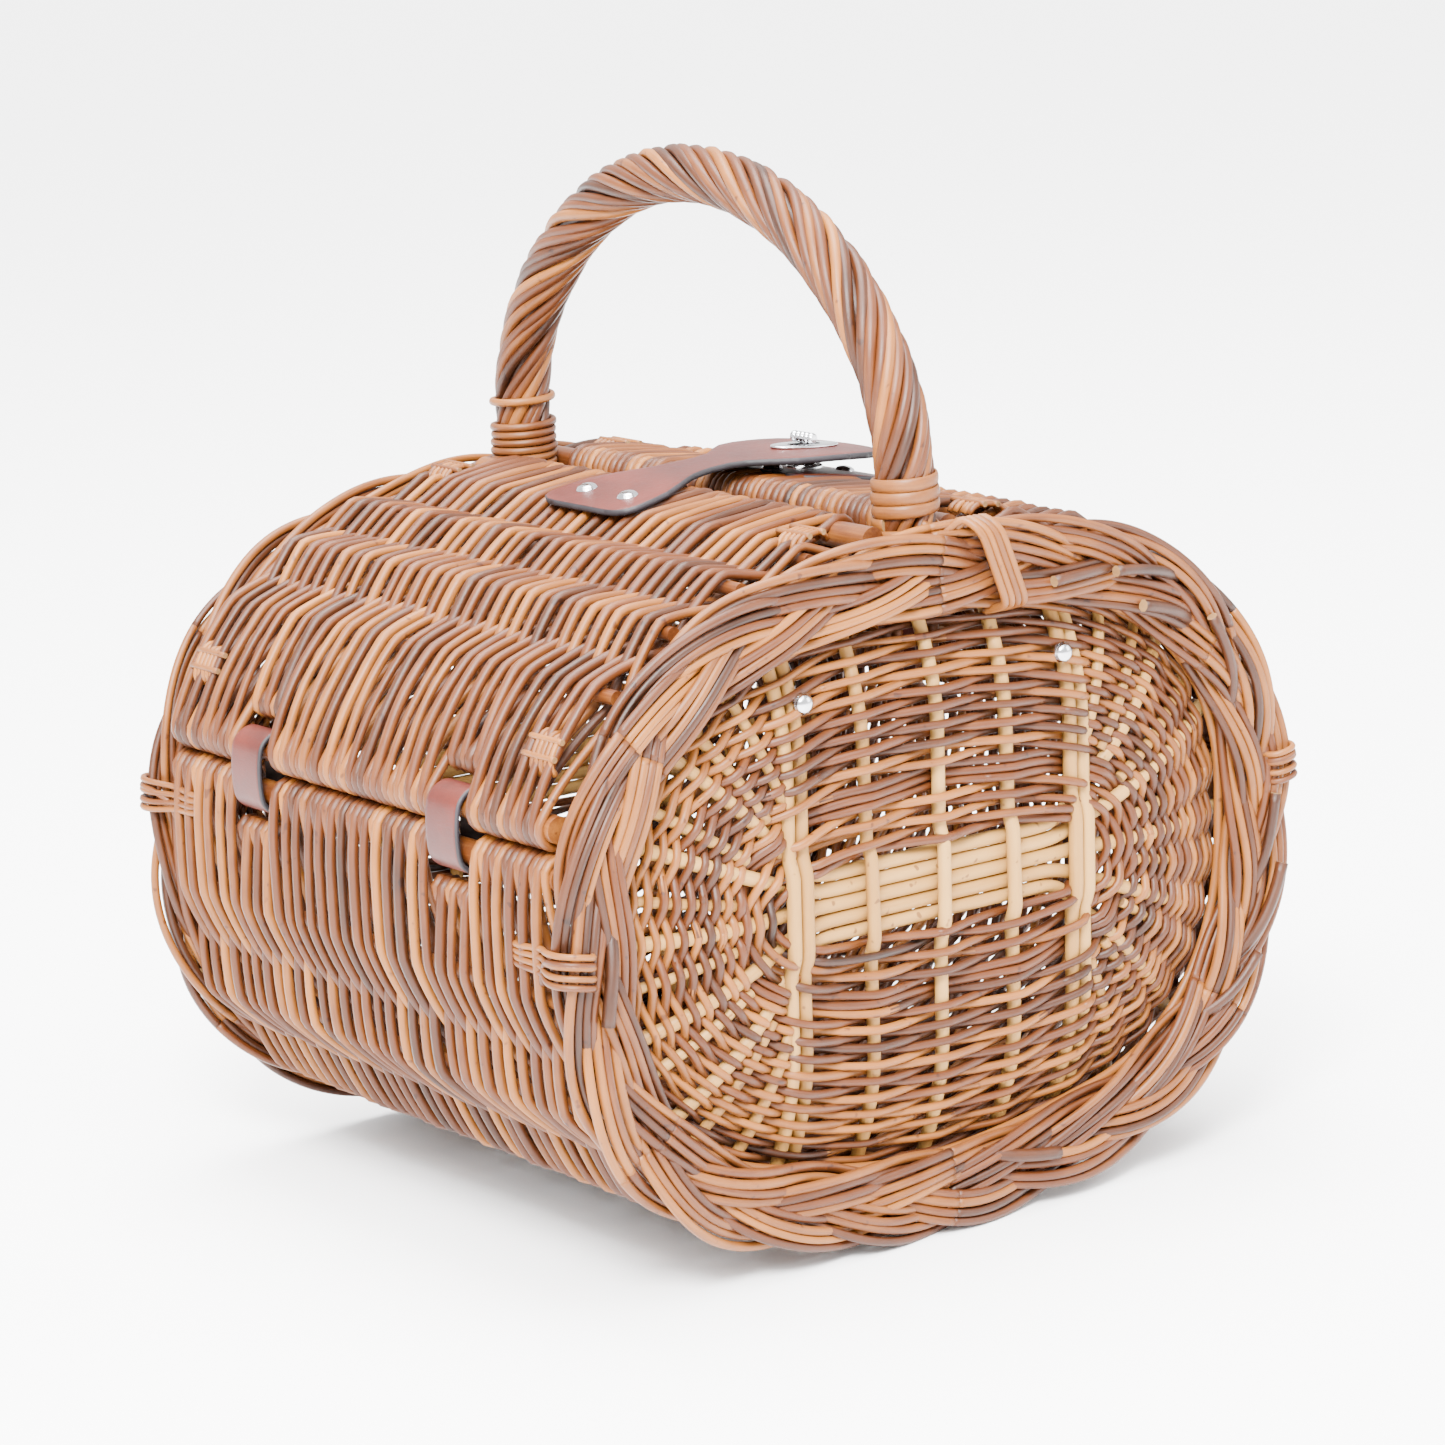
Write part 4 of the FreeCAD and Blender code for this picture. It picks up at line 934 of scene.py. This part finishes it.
# %% Bind the feet of the handle
def wound(y, z_low, turns, pitch, phase, radius, flat, hold):
    """A rod wound round a leg of the handle, starting at z_low."""
    angle = np.linspace(0, 2 * math.pi * turns, int(30 * turns)) + phase
    reach = HANDLE_RADIUS + hold + 0.25 * MM * np.sin(angle * 2.3)
    z = z_low + pitch * (angle - phase) / (2 * math.pi)
    path = np.stack([reach * np.cos(angle), y + reach * np.sin(angle), z], axis=1)
    return dict(path=path, radius=radius, flat=flat, lean=(0, 0, 1), tone=random.uniform(0.5, 0.9))


foot_y, foot_z = HANDLE_REACH, HANDLE_FOOT
FLAT_SKEIN = dict(radius=2.75 * MM, flat=0.33, hold=0.7 * MM)
ROUND_SKEIN = dict(radius=1.75 * MM, flat=0.8, hold=1.1 * MM)
BINDINGS = {
    "front": [wound(-foot_y, foot_z + 18 * MM, turns=3.2, pitch=5.4 * MM, phase=0.4, **FLAT_SKEIN),
              wound(-foot_y, foot_z + 4 * MM, turns=2.2, pitch=5.2 * MM, phase=2.0, **FLAT_SKEIN)],
    "back": [wound(foot_y, foot_z + 2 * MM, turns=8.1, pitch=3.6 * MM, phase=1.0, **ROUND_SKEIN),
             wound(foot_y, foot_z + 38 * MM, turns=1.1, pitch=3.6 * MM, phase=0.0, **ROUND_SKEIN)]}
for place, skeins in BINDINGS.items():
    finish_piece(rod_mesh(f"binding_{place}", skeins, sides=10), "basket", "willow", WILLOW,
                 f"handle_binding_{place}")

# %% [markdown]
# A tie is drawn through a few corner points and then rounded off. It comes out of the wall
# behind the border, goes over the rim and dives between the rods of the plait. Each border
# has one tie at either side: four close strands, and a loose one that slants across them.

# %% Lash the borders to the body and tuck the binding's tail
TIE_ROD = 1.35 * MM


def bent(points, tone, radius=TIE_ROD, round_off=3.0 * MM):
    """A thin rod through a few corner points, rounded off."""
    line = soften(resample(points, 1 * MM), round_off, 1 * MM)
    return dict(path=resample(line, 2.2 * MM), radius=radius, tone=tone)


def width_at(inset, height):
    """Half width of the inset oval at a height above the barrel's middle."""
    side = OVAL - OVAL_NORMAL * inset
    side = side[(side[:, 0] > 0.1)]
    order = np.argsort(side[:, 1])
    return float(np.interp(height, side[order, 1], side[order, 0]))


def border_tie(way, end, middle):
    """The strands of one tie; way is the side of the basket and middle the tie's height."""
    strands = []
    for k in range(5):
        drop_far, drop_near, start = (7 * MM, 16 * MM, -8 * MM) if k == 4 else (0, 0, -26 * MM)
        z_far = middle + (k - 1.5) * 4.1 * MM + random.uniform(-0.6, 0.6) * MM - drop_far
        z_near = middle + (k - 1.5) * 2.5 * MM - drop_near
        up = z_far - MID_Z
        wall, outer = width_at(6 * MM, up) + 1.0 * MM, width_at(0.5 * MM, up) + TIE_ROD
        points = [(way * (wall - 6 * MM), end * (BORDER_BACK + start - 3 * MM), z_near),
                  (way * (wall + 1.2 * MM), end * (BORDER_BACK + start + 4 * MM), z_near),
                  (way * wall, end * (BORDER_BACK - 4 * MM), (z_near + z_far) / 2),
                  (way * outer, end * (BORDER_BACK + 6 * MM), z_far),
                  (way * outer, end * (BARREL_END - 6 * MM), z_far),
                  (way * (outer - 5 * MM), end * (BARREL_END + 0.4 * MM), z_far),
                  (way * (outer - 14 * MM), end * (BARREL_END + 0.2 * MM), z_far - 2 * MM),
                  (way * (outer - 18 * MM), end * (BORDER_BACK + 6 * MM), z_far - 3 * MM)]
        strands.append(bent(points, random.uniform(0.4, 0.85)))
    return strands


TIE_LOW, TIE_HIGH = 150 * MM, 170 * MM
for place, end in ENDS:
    left, right = (TIE_LOW, TIE_HIGH) if end < 0 else (TIE_HIGH, TIE_LOW)
    strands = border_tie(-1, end, left) + border_tie(1, end, right)
    finish_piece(rod_mesh(f"lashing_{place}", strands, sides=8), "basket", "willow", WILLOW,
                 f"border_ties_{place}")

# The tail of the front binding crosses the rim and ends under the plait.
strands = []
for k in range(4):
    x = 7 * MM + 3.4 * MM * k
    top = MID_Z + HALF_HEIGHT + 1.2 * MM
    points = [(x - 8 * MM, -foot_y - 11 * MM, foot_z + (16 - 2 * k) * MM),
              (x - 1 * MM, -foot_y - 15 * MM, foot_z + (10 - k) * MM),
              (x + 5 * MM, -BARREL_END + 6 * MM, top),
              (x + 9 * MM, -BARREL_END - 1.5 * MM, top - 6 * MM),
              (x + 22 * MM, -BARREL_END - 1.2 * MM, top - 38 * MM),
              (x + 25 * MM, -BORDER_BACK - 4 * MM, top - 43 * MM)]
    strands.append(bent(points, random.uniform(0.55, 0.9), 1.7 * MM))
finish_piece(rod_mesh("binding_tail", strands, sides=8), "basket", "willow", WILLOW, "handle_tail")

# %% Lash the corners of the lids
LASHING_Y, LASHING_PITCH = 131 * MM, 3.0 * MM
HINGE_LASHING, TOP_LASHING = 27 * MM, 26 * MM


def corner_lashing(sheet, along, y, end):
    """Thin strands over the weave at one corner; two short ends stick out beside them."""
    strands = []
    for k in range(5):
        half = (8.5 + random.uniform(-1, 1)) * MM
        reach = np.linspace(-half, half, 14)
        hoop = 6.4 * MM + 1.4 * MM * np.cos(reach / half * math.pi / 2)
        hoop = hoop - 3 * MM * (np.abs(reach) / half) ** 6
        across = y - end * LASHING_PITCH * k + 0.10 * reach
        path = sheet.lay(np.stack([along + reach, hoop], axis=1), across)
        strands.append(dict(path=path, radius=TIE_ROD, tone=random.uniform(0.6, 1.0)))
    for off in (-3 * MM, 4 * MM):
        x, _, z = sheet.lay(np.array([[along + off, 8 * MM]]), y)[0]
        points = [(x, y + end * 3 * MM, z), (x, y - end * 18 * MM, z)]
        strands.append(dict(path=resample(points, 3 * MM), radius=1.3 * MM,
                            tone=random.uniform(0.5, 0.9)))
    return strands


for side, sheet in lid_sheets.items():
    strands = []
    for end in (-1, 1):
        for along in (HINGE_LASHING, sheet.length - TOP_LASHING):
            strands += corner_lashing(sheet, along, end * LASHING_Y, end)
    finish_piece(rod_mesh(f"lid_{side}_lashings", strands, sides=7), f"lid_{side}", "willow", WILLOW,
                 f"lid_corner_ties_{side}")

# %% [markdown]
# ## Leather
# The strap, its patch and the four hinge loops are cut from one hide: reddish brown on the
# grain side, nearly black on the cut edge and dull brown on the flesh side. The colour wanders
# a little, and fine pores and creases catch the light.

# %% Leather finishes
def leather(name, dark, light, gloss):
    """A leather finish whose colour wanders between dark and light."""
    wire = Wiring(name)
    place = wire.add("TexCoord").outputs["Object"]
    cloud = wire.noise(place, 38.0, 3.0)
    pore = wire.noise(place, 2600.0, 2.0)
    crease = wire.noise(wire.stretch(place, (1.0, 1.0, 3.0)), 420.0, 4.0, 0.65)
    colour = wire.ramp(wire.sum((cloud, 0.75), (crease, 0.25)), (0.30, dark), (0.72, light))
    wire.join(colour, wire.shader.inputs["Base Color"])
    wire.roughness(crease, gloss - 0.08, gloss + 0.12)
    wire.shader.inputs["Specular IOR Level"].default_value = 0.3
    wire.bump(wire.sum((pore, 0.4), (crease, 1.0)), 0.22, 0.4 * MM)
    return wire.material


grain_side = leather("leather", linear(50, 12, 6), linear(84, 27, 16), 0.45)
cut_edge = leather("leather_edge", linear(16, 14, 16), linear(42, 38, 42), 0.55)
flesh_side = leather("leather_inside", linear(26, 16, 12), linear(52, 34, 26), 0.8)
HIDE = (grain_side, cut_edge, flesh_side)
print("leather finishes", [m.name for m in HIDE])

# %% [markdown]
# A band of leather is one closed outline, carried along a line: flat on the grain side, with
# rounded corners at the cut edges. Each face of the outline gets its own finish from the hide.

# %% Cut a band of leather
def band_mesh(name, centre, outward, across, half_widths, thickness, closed=False):
    """A leather band along a line: grain side outwards, rounded dark edges, flesh side in."""
    count = len(centre)
    half = np.broadcast_to(np.asarray(half_widths, float), (count,))
    bevel = 0.35 * thickness
    # The outline's corners: share of the half width, sideways shift, share of the thickness.
    columns = [(-1.0, 0.0, -0.28), (-1.0, 0.0, 0.28), (-1.0, bevel, 0.5)]
    columns += [(-1.0 + 2.0 * k / 10, 0.0, 0.5) for k in range(1, 10)]
    columns += [(1.0, -bevel, 0.5), (1.0, 0.0, 0.28), (1.0, 0.0, -0.28), (1.0, -bevel, -0.5)]
    columns += [(1.0 - 2.0 * k / 6, 0.0, -0.5) for k in range(1, 6)] + [(-1.0, bevel, -0.5)]
    points = []
    for k in range(count):
        for share, shift, up in columns:
            sideways = across * (share * half[k] + shift)
            points.append(tuple(centre[k] + sideways + outward[k] * up * thickness))
    width = len(columns)
    faces, slots = [], []
    for k in range(count if closed else count - 1):
        ahead = (k + 1) % count
        for c in range(width):
            d = (c + 1) % width
            faces.append((k * width + c, ahead * width + c, ahead * width + d, k * width + d))
            heights = (columns[c][2], columns[d][2])
            slots.append(0 if min(heights) > 0.4 else 2 if max(heights) < -0.4 else 1)
    if not closed:
        faces.append(tuple(range(width)))
        faces.append(tuple((count - 1) * width + c for c in reversed(range(width))))
        slots += [1, 1]
    piece = new_piece(name, points, faces)
    piece.data.polygons.foreach_set("material_index", slots)
    piece.data.polygons.foreach_set("use_smooth", [True] * len(faces))
    piece.data.update()
    print(name, len(faces), "faces")
    return piece


# %% [markdown]
# Each hinge is a strip of leather that goes once round both rails. Its line is four quarter
# turns joined by straights, and the free outer side bulges a little between the rails.

# %% Hinge loops
ALONG_BARREL = np.array([0.0, 1.0, 0.0])
LOOP_HALF_WIDTH, LOOP_LEATHER, LOOP_BULGE = 11 * MM, 2.2 * MM, 2.5 * MM


def hinge_loop(side, place, way, y):
    """A loop round a body rail and a hinge rail; it bulges where it isn't held."""
    low, high = body_rail * (way, 1), hinge_rail * (way, 1)
    hold = RAIL_RADIUS + 1.6 * MM
    line = []
    for middle, start, stop in ((low, -90, -180), (high, 180, 90), (high, 90, 0), (low, 0, -90)):
        for a in np.radians(np.linspace(start, stop, 9)):
            line.append(middle + hold * np.array([-way * math.cos(a), math.sin(a)]))
    line = resample(line + line[:1], 1.2 * MM)[:-1]
    middle = (low + high) / 2
    half_tall = abs(high[1] - low[1]) / 2 + hold
    outwards = (line[:, 0] - middle[0]) * way
    swell = np.clip(1 - ((line[:, 1] - middle[1]) / half_tall) ** 2, 0, 1)
    line[:, 0] += way * np.where(outwards > 0, LOOP_BULGE * swell, 0.0)
    path = np.stack([line[:, 0], np.full(len(line), y), line[:, 1] + MID_Z], axis=1)
    along = tangents(path, True)
    outward = np.cross(along, ALONG_BARREL)
    away = path - np.array([middle[0], y, middle[1] + MID_Z])
    outward *= np.sign((outward * away).sum())
    loop = band_mesh(f"loop_{side}_{place}", path, outward, ALONG_BARREL, LOOP_HALF_WIDTH,
                     LOOP_LEATHER, closed=True)
    finish_piece(loop, "basket", "leather", HIDE, f"hinge_loop_{side}_{place}")


for side, way in SIDES:
    for place, end in ENDS:
        hinge_loop(side, place, way, end * LOOP_PLACE)

# %% [markdown]
# ## The strap and its patch
# The strap is one flat cutting: a broad riveted end, a narrow waist and a broad tongue with
# the slot for the catch. Its outline is a list of half widths along its length. It lies on an
# arc over the two top rails. On the real basket it bends beside the rivets when it is lifted;
# here it stays one piece on the arc.

# %% The strap's arc and a curved cutting
plate_low, plate_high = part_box("strap_plate")
LEATHER, PATCH_LEATHER = 2.8 * MM, 2.5 * MM
STRAP_Y = (plate_low.y + plate_high.y) / 2
PLATE_X = (plate_low.x + plate_high.x) / 2
STRAP_UNDER = ((-66 * MM, 294.8 * MM), (10 * MM, 305.1 * MM), (87 * MM, 301.4 * MM))


def circle_through(points):
    """Centre and radius of the circle through three points."""
    rows = np.array([(2 * x, 2 * z, 1.0) for x, z in points])
    cx, cz, rest = np.linalg.solve(rows, np.array([x * x + z * z for x, z in points]))
    return np.array([cx, cz]), math.sqrt(rest + cx * cx + cz * cz)


STRAP_CENTRE, STRAP_RADIUS = circle_through(STRAP_UNDER)


def over_strap(x, lift):
    """A point over the strap's middle line at x, and the strap's outward direction there."""
    out = np.array([x - STRAP_CENTRE[0], math.sqrt(STRAP_RADIUS ** 2 - (x - STRAP_CENTRE[0]) ** 2)])
    out /= STRAP_RADIUS
    spot = STRAP_CENTRE + out * (STRAP_RADIUS + lift)
    return np.array([spot[0], STRAP_Y, spot[1]]), np.array([out[0], 0.0, out[1]])


# Half widths of the strap along its length, both in millimetres.
STRAP_WIDTHS = ((-65.0, 18), (-64.4, 24), (-62.5, 28.5), (-58, 31), (-48, 30.5), (-38, 28), (-27, 22),
                (-16, 15.5), (-5, 12.8), (6, 12.6), (14, 15), (22, 22), (30, 28.5), (40, 31.5),
                (55, 32.3), (66, 31.5), (74, 28.5), (80, 23), (83.6, 16), (85.4, 9), (86.0, 3.5))


def curved_band(name, widths, place, thickness, step):
    """A leather sheet that follows an arc across the barrel; widths are (x, half width) in mm."""
    table = np.array(widths, dtype=float) * MM
    dense = np.unique(np.concatenate([np.arange(table[0, 0], table[-1, 0], step), table[:, 0]]))
    half = np.interp(dense, table[:, 0], table[:, 1])
    smooth = np.convolve(np.pad(half, 2, mode="edge"), [0.1, 0.2, 0.4, 0.2, 0.1], "valid")
    half[3:-3] = smooth[3:-3]
    spots = [place(x) for x in dense]
    centre = np.array([spot for spot, _ in spots])
    outward = np.array([out for _, out in spots])
    return band_mesh(name, centre, outward, ALONG_BARREL, half, thickness)


# %% [markdown]
# The slot is cut with booleans, by an upright block and a cylinder at each of its ends. That
# keeps the slot's wall sharp, and the cutters are removed once they are used.

# %% Lay the strap on its arc, cut the slot and lay the patch
CUT_HEIGHT = 305 * MM


def slot_cutter(x, length, width):
    """An upright block with round ends, for cutting the slot."""
    bpy.ops.object.select_all(action="DESELECT")
    bpy.ops.mesh.primitive_cube_add(size=1, location=(x, STRAP_Y, CUT_HEIGHT))
    block = bpy.context.object
    block.scale = (length - width, width, 0.05)
    bpy.ops.object.transform_apply(location=False, rotation=False, scale=True)
    ends = [block]
    for way in (-1, 1):
        centre = (x + way * (length - width) / 2, STRAP_Y, CUT_HEIGHT)
        bpy.ops.mesh.primitive_cylinder_add(vertices=32, radius=width / 2, depth=0.052, location=centre)
        ends.append(bpy.context.object)
    return ends


def cut_with(piece, cutters):
    """Takes the cutters away from a piece, one boolean at a time."""
    for cutter in cutters:
        modifier = piece.modifiers.new("cut", "BOOLEAN")
        modifier.object = cutter
        modifier.operation, modifier.solver = "DIFFERENCE", "EXACT"
        bpy.ops.object.select_all(action="DESELECT")
        bpy.context.view_layer.objects.active = piece
        piece.select_set(True)
        bpy.ops.object.modifier_apply(modifier=modifier.name)
        bpy.data.objects.remove(cutter)


strap = curved_band("strap", STRAP_WIDTHS, lambda x: over_strap(x, LEATHER / 2), LEATHER, 1.6 * MM)
for material in HIDE:
    strap.data.materials.append(material)
cut_with(strap, slot_cutter(PLATE_X, 19 * MM, 9 * MM))
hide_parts("strap_anchor", "strap_tongue")
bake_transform(strap)


def on_lid(x, lift):
    """A point on the right lid's outer face over the strap's middle line, raised by lift."""
    middle = HALF_HEIGHT - CROWN_RADIUS
    out = np.array([x, math.sqrt(CROWN_RADIUS ** 2 - x ** 2)]) / CROWN_RADIUS
    spot = out * (CROWN_RADIUS + lift)
    return np.array([spot[0], STRAP_Y, spot[1] + middle + MID_Z]), np.array([out[0], 0.0, out[1]])


PATCH_WIDTHS = ((31.0, 16), (31.6, 22), (33.5, 26.5), (38, 29.5), (48, 31), (62, 31.5), (76, 31),
                (86, 29), (91, 25), (93.4, 19), (94.0, 12))
patch = curved_band("patch", PATCH_WIDTHS, lambda x: on_lid(x, 1.3 * MM), PATCH_LEATHER, 2.0 * MM)
finish_piece(patch, "lid_right", "leather", HIDE, "lock_patch")

# %% [markdown]
# ## Rivets, studs and the turn catch
# The metal parts are all turned, so each is a half outline spun round its own axis: domed
# rivet caps, round-headed studs, a ribbed bar on a stem. Only the oval plate is pressed; it
# starts as a flattened cylinder, gets a bevel and then its slot.

# %% Nickel and spun parts
def nickel():
    """Polished nickel with faint smears."""
    wire = Wiring("nickel")
    place = wire.add("TexCoord").outputs["Object"]
    smear = wire.noise(place, 260.0, 3.0)
    wire.join(wire.ramp(smear, (0.3, linear(186, 186, 190)), (0.7, linear(212, 212, 214))),
              wire.shader.inputs["Base Color"])
    wire.roughness(smear, 0.10, 0.26)
    wire.shader.inputs["Metallic"].default_value = 1.0
    return wire.material


metal = nickel()


def smooth_by_angle(piece):
    """Smooth shading, except across edges sharper than 35 degrees."""
    bpy.ops.object.select_all(action="DESELECT")
    bpy.context.view_layer.objects.active = piece
    piece.select_set(True)
    bpy.ops.object.shade_smooth_by_angle(angle=math.radians(35))


def spun(name, outlines, segments=36):
    """One mesh of spun parts: each is (outline of (radius, height), foot, direction)."""
    points, faces = [], []
    for outline, foot, axis in outlines:
        axis = unit(np.asarray(axis, float))
        side = unit(np.cross(axis, [0.31, 0.52, 0.17]))
        over = np.cross(axis, side)
        start = len(points)
        for radius, height in outline:
            for k in range(segments):
                a = 2 * math.pi * k / segments
                ring = radius * MM * (math.cos(a) * side + math.sin(a) * over)
                points.append(tuple(foot + ring + axis * height * MM))
        rows = len(outline)
        for row in range(rows - 1):
            for k in range(segments):
                m = (k + 1) % segments
                low, high = start + row * segments, start + (row + 1) * segments
                faces.append((low + k, low + m, high + m, high + k))
        faces.append(tuple(start + k for k in reversed(range(segments))))
        faces.append(tuple(start + (rows - 1) * segments + k for k in range(segments)))
    piece = new_piece(name, points, faces)
    piece.data.update()
    smooth_by_angle(piece)
    print(name, len(faces), "faces")
    return piece


def dome_outline(radius, rise, foot=-0.4):
    """A domed cap with a small rolled rim."""
    outline = [(radius * 0.96, foot), (radius, 0.15), (radius * 0.97, 0.45)]
    outline += [(radius * 0.93 * math.cos(t), 0.45 + (rise - 0.45) * math.sin(t))
                for t in np.linspace(0.12, math.pi / 2 * 0.97, 8)]
    return outline


# %% [markdown]
# A rivet is a domed cap on the outside and a small washer on the inside of the weave. The
# studs of the front panel are the same with a higher dome.

# %% Rivets and studs
STRAP_RIVET_X, STRAP_RIVET_Y, PATCH_RIVETS = -50 * MM, 14.5 * MM, (38 * MM, 78 * MM)
STUD_X, STUD_Z, STUD_LIFT = 69 * MM, 235 * MM, 5.6 * MM
CAP, STUD = dome_outline(4.6, 2.3), dome_outline(4.6, 3.4, -1.0)
WASHER = [(1.5, -1.1), (3.6, -1.1), (3.6, 0.0), (1.5, 0.0)]
FRONT = np.array([0.0, -1.0, 0.0])


def capped(outline, spot, out, depth):
    """The cap of a rivet or stud, and its washer at a depth behind it."""
    return [(outline, spot, out), (WASHER, spot - out * depth, out)]


rivets, studs = [], []
for way in (-1, 1):
    spot, out = over_strap(STRAP_RIVET_X, LEATHER)
    rivets += capped(CAP, spot + way * STRAP_RIVET_Y * ALONG_BARREL, out, 17.2 * MM)
    spot = on_panel([way * STUD_X], [STUD_Z - MID_Z], STUD_LIFT, -1)[0]
    studs += capped(STUD, spot, FRONT, 15 * MM)
finish_piece(spun("strap_caps", rivets), "lid_left", "metal", (metal,), "strap_rivets")
rivets = []
for x in PATCH_RIVETS:
    rivets += capped(CAP, *on_lid(x, PATCH_LEATHER), 15.0 * MM)
finish_piece(spun("patch_caps", rivets), "lid_right", "metal", (metal,), "patch_rivets")
finish_piece(spun("studs", studs), "basket", "metal", (metal,), "panel_studs")

# %% [markdown]
# The plate starts as a cylinder that is squashed into a thin oval. It is leaned like the strap
# under it before the slot is cut. The catch is a spun foot, a stem and a bar with five ribs.

# %% Plate, catch foot and turn bar
PLATE_SIZE = (17.5 * MM, 9 * MM, 1.2 * MM)
spot, out = over_strap(PLATE_X, LEATHER + 0.5 * MM)
bpy.ops.object.select_all(action="DESELECT")
bpy.ops.mesh.primitive_cylinder_add(vertices=72, radius=1, depth=1)
plate = bpy.context.object
plate.name = plate.data.name = "plate"
plate.scale = PLATE_SIZE
bpy.ops.object.transform_apply(location=False, rotation=False, scale=True)
bevel = plate.modifiers.new("rolled rim", "BEVEL")
bevel.width, bevel.segments, bevel.limit_method = 0.5 * MM, 3, "ANGLE"
bpy.ops.object.modifier_apply(modifier=bevel.name)
lean = math.asin(out[0])
plate.data.transform(Matrix.Translation(Vector(spot)) @ Matrix.Rotation(lean, 4, "Y"))
plate.matrix_world = Matrix.Identity(4)
cut_with(plate, slot_cutter(PLATE_X, 17 * MM, 6.4 * MM))
smooth_by_angle(plate)
finish_piece(plate, "strap", "metal", (metal,), "strap_plate")

base_low, base_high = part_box("catch_base")
foot = np.array([PLATE_X, STRAP_Y, base_low.z])
tall = (base_high.z - base_low.z) / MM
FOOT = [(7.6, 0.0), (8.0, 0.3), (8.0, 1.0), (7.5, 1.4), (4.9, 1.5), (4.3, 2.2), (3.7, tall), (2.3, tall)]
finish_piece(spun("catch_foot", [(FOOT, foot, (0, 0, 1))]), "lid_right", "metal", (metal,), "catch_base")

bar_low, bar_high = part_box("turn_bar")
bar_z = bar_high.z - 2.4 * MM
stem_tall = (bar_z - bar_low.z) / MM
STEM = [(2.0, 0.0), (2.0, stem_tall - 1.0), (1.2, stem_tall)]
RIB = ((1.75, -1.42), (2.35, -0.8), (2.5, 0.0), (2.35, 0.8), (1.75, 1.42))
ribs = [(0.6, 0.0)]
for k in range(5):
    ribs += [(radius, 1.5 + 2.9 * k + along) for radius, along in RIB]
ribs.append((0.6, 14.6))
bar_parts = [(STEM, np.array([PLATE_X, STRAP_Y, bar_low.z]), (0, 0, 1)),
             (ribs, np.array([PLATE_X, STRAP_Y - 7.3 * MM, bar_z]), (0, 1, 0))]
finish_piece(spun("turn_knob", bar_parts), "turn_bar", "metal", (metal,), "turn_bar")

# %% [markdown]
# ## Camera, light and floor
# The camera stands at the left of the front end, a little above the lids, with a long lens.
# A key light at the left, a weak fill, a panel overhead, a very wide soft sun and a white room
# together keep the shadows faint.

# %% Camera
def aim_camera():
    """A camera given by its angles round the basket and its distance from it."""
    azimuth, elevation, roll = math.radians(-37.2), math.radians(12.31), math.radians(-2.08)
    distance, across, rise = 2.0458, 0.0037, 0.0432
    back = Vector((math.sin(azimuth) * math.cos(elevation),
                   -math.cos(azimuth) * math.cos(elevation), math.sin(elevation)))
    right = (-back).cross(Vector((0, 0, 1))).normalized()
    up = right.cross(-back)
    tilted_right = math.cos(roll) * right + math.sin(roll) * up
    tilted_up = math.cos(roll) * up - math.sin(roll) * right
    data = bpy.data.cameras.new("camera")
    data.lens, data.sensor_width = 117.2, 36
    camera = bpy.data.objects.new("camera", data)
    bpy.context.scene.collection.objects.link(camera)
    turn = Matrix((tilted_right, tilted_up, back)).transposed().to_4x4()
    place = back * distance + right * across + up * rise + Vector((0, 0, MID_Z))
    camera.matrix_world = Matrix.Translation(place) @ turn
    bpy.context.scene.camera = camera
    return camera


camera = aim_camera()
print("camera at", [round(v, 3) for v in camera.matrix_world.translation])

# %% Light and floor
AIM = Vector((0, 0, 150 * MM))


def area_light(name, place, size, power):
    """A square light panel that faces the middle of the basket."""
    data = bpy.data.lights.new(name, "AREA")
    data.size, data.energy = size, power
    light = bpy.data.objects.new(name, data)
    bpy.context.scene.collection.objects.link(light)
    light.location = place
    light.rotation_euler = (AIM - Vector(place)).to_track_quat("-Z", "Y").to_euler()


area_light("key", (-1.7, -1.7, 2.3), 0.9, 420)
area_light("fill", (2.2, -1.9, 1.3), 1.6, 60)
area_light("top", (0.1, 0.5, 2.6), 1.5, 200)

sun = bpy.data.objects.new("soft_sun", bpy.data.lights.new("soft_sun", "SUN"))
sun.data.energy, sun.data.angle = 13.0, math.radians(70)
sun.rotation_euler = (math.radians(18), math.radians(-22), 0)
bpy.context.scene.collection.objects.link(sun)

world = bpy.data.worlds.new("white_room")
world.use_nodes = True
room = world.node_tree.nodes["Background"].inputs
room["Color"].default_value, room["Strength"].default_value = (1, 1, 1, 1), 2.2
bpy.context.scene.world = world

bpy.ops.mesh.primitive_plane_add(size=30, location=(0, 0, 0))
floor = bpy.context.object
floor.name = "floor"
paper = bpy.data.materials.new("white_paper")
paper.use_nodes = True
paper_finish = paper.node_tree.nodes["Principled BSDF"].inputs
paper_finish["Base Color"].default_value = (0.93, 0.93, 0.93, 1)
paper_finish["Roughness"].default_value = 0.9
floor.data.materials.append(paper)
floor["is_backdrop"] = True

# %% Print the frame's bounds
print("cad", [round(v, 4) for v in (*cad_low, *cad_high)])
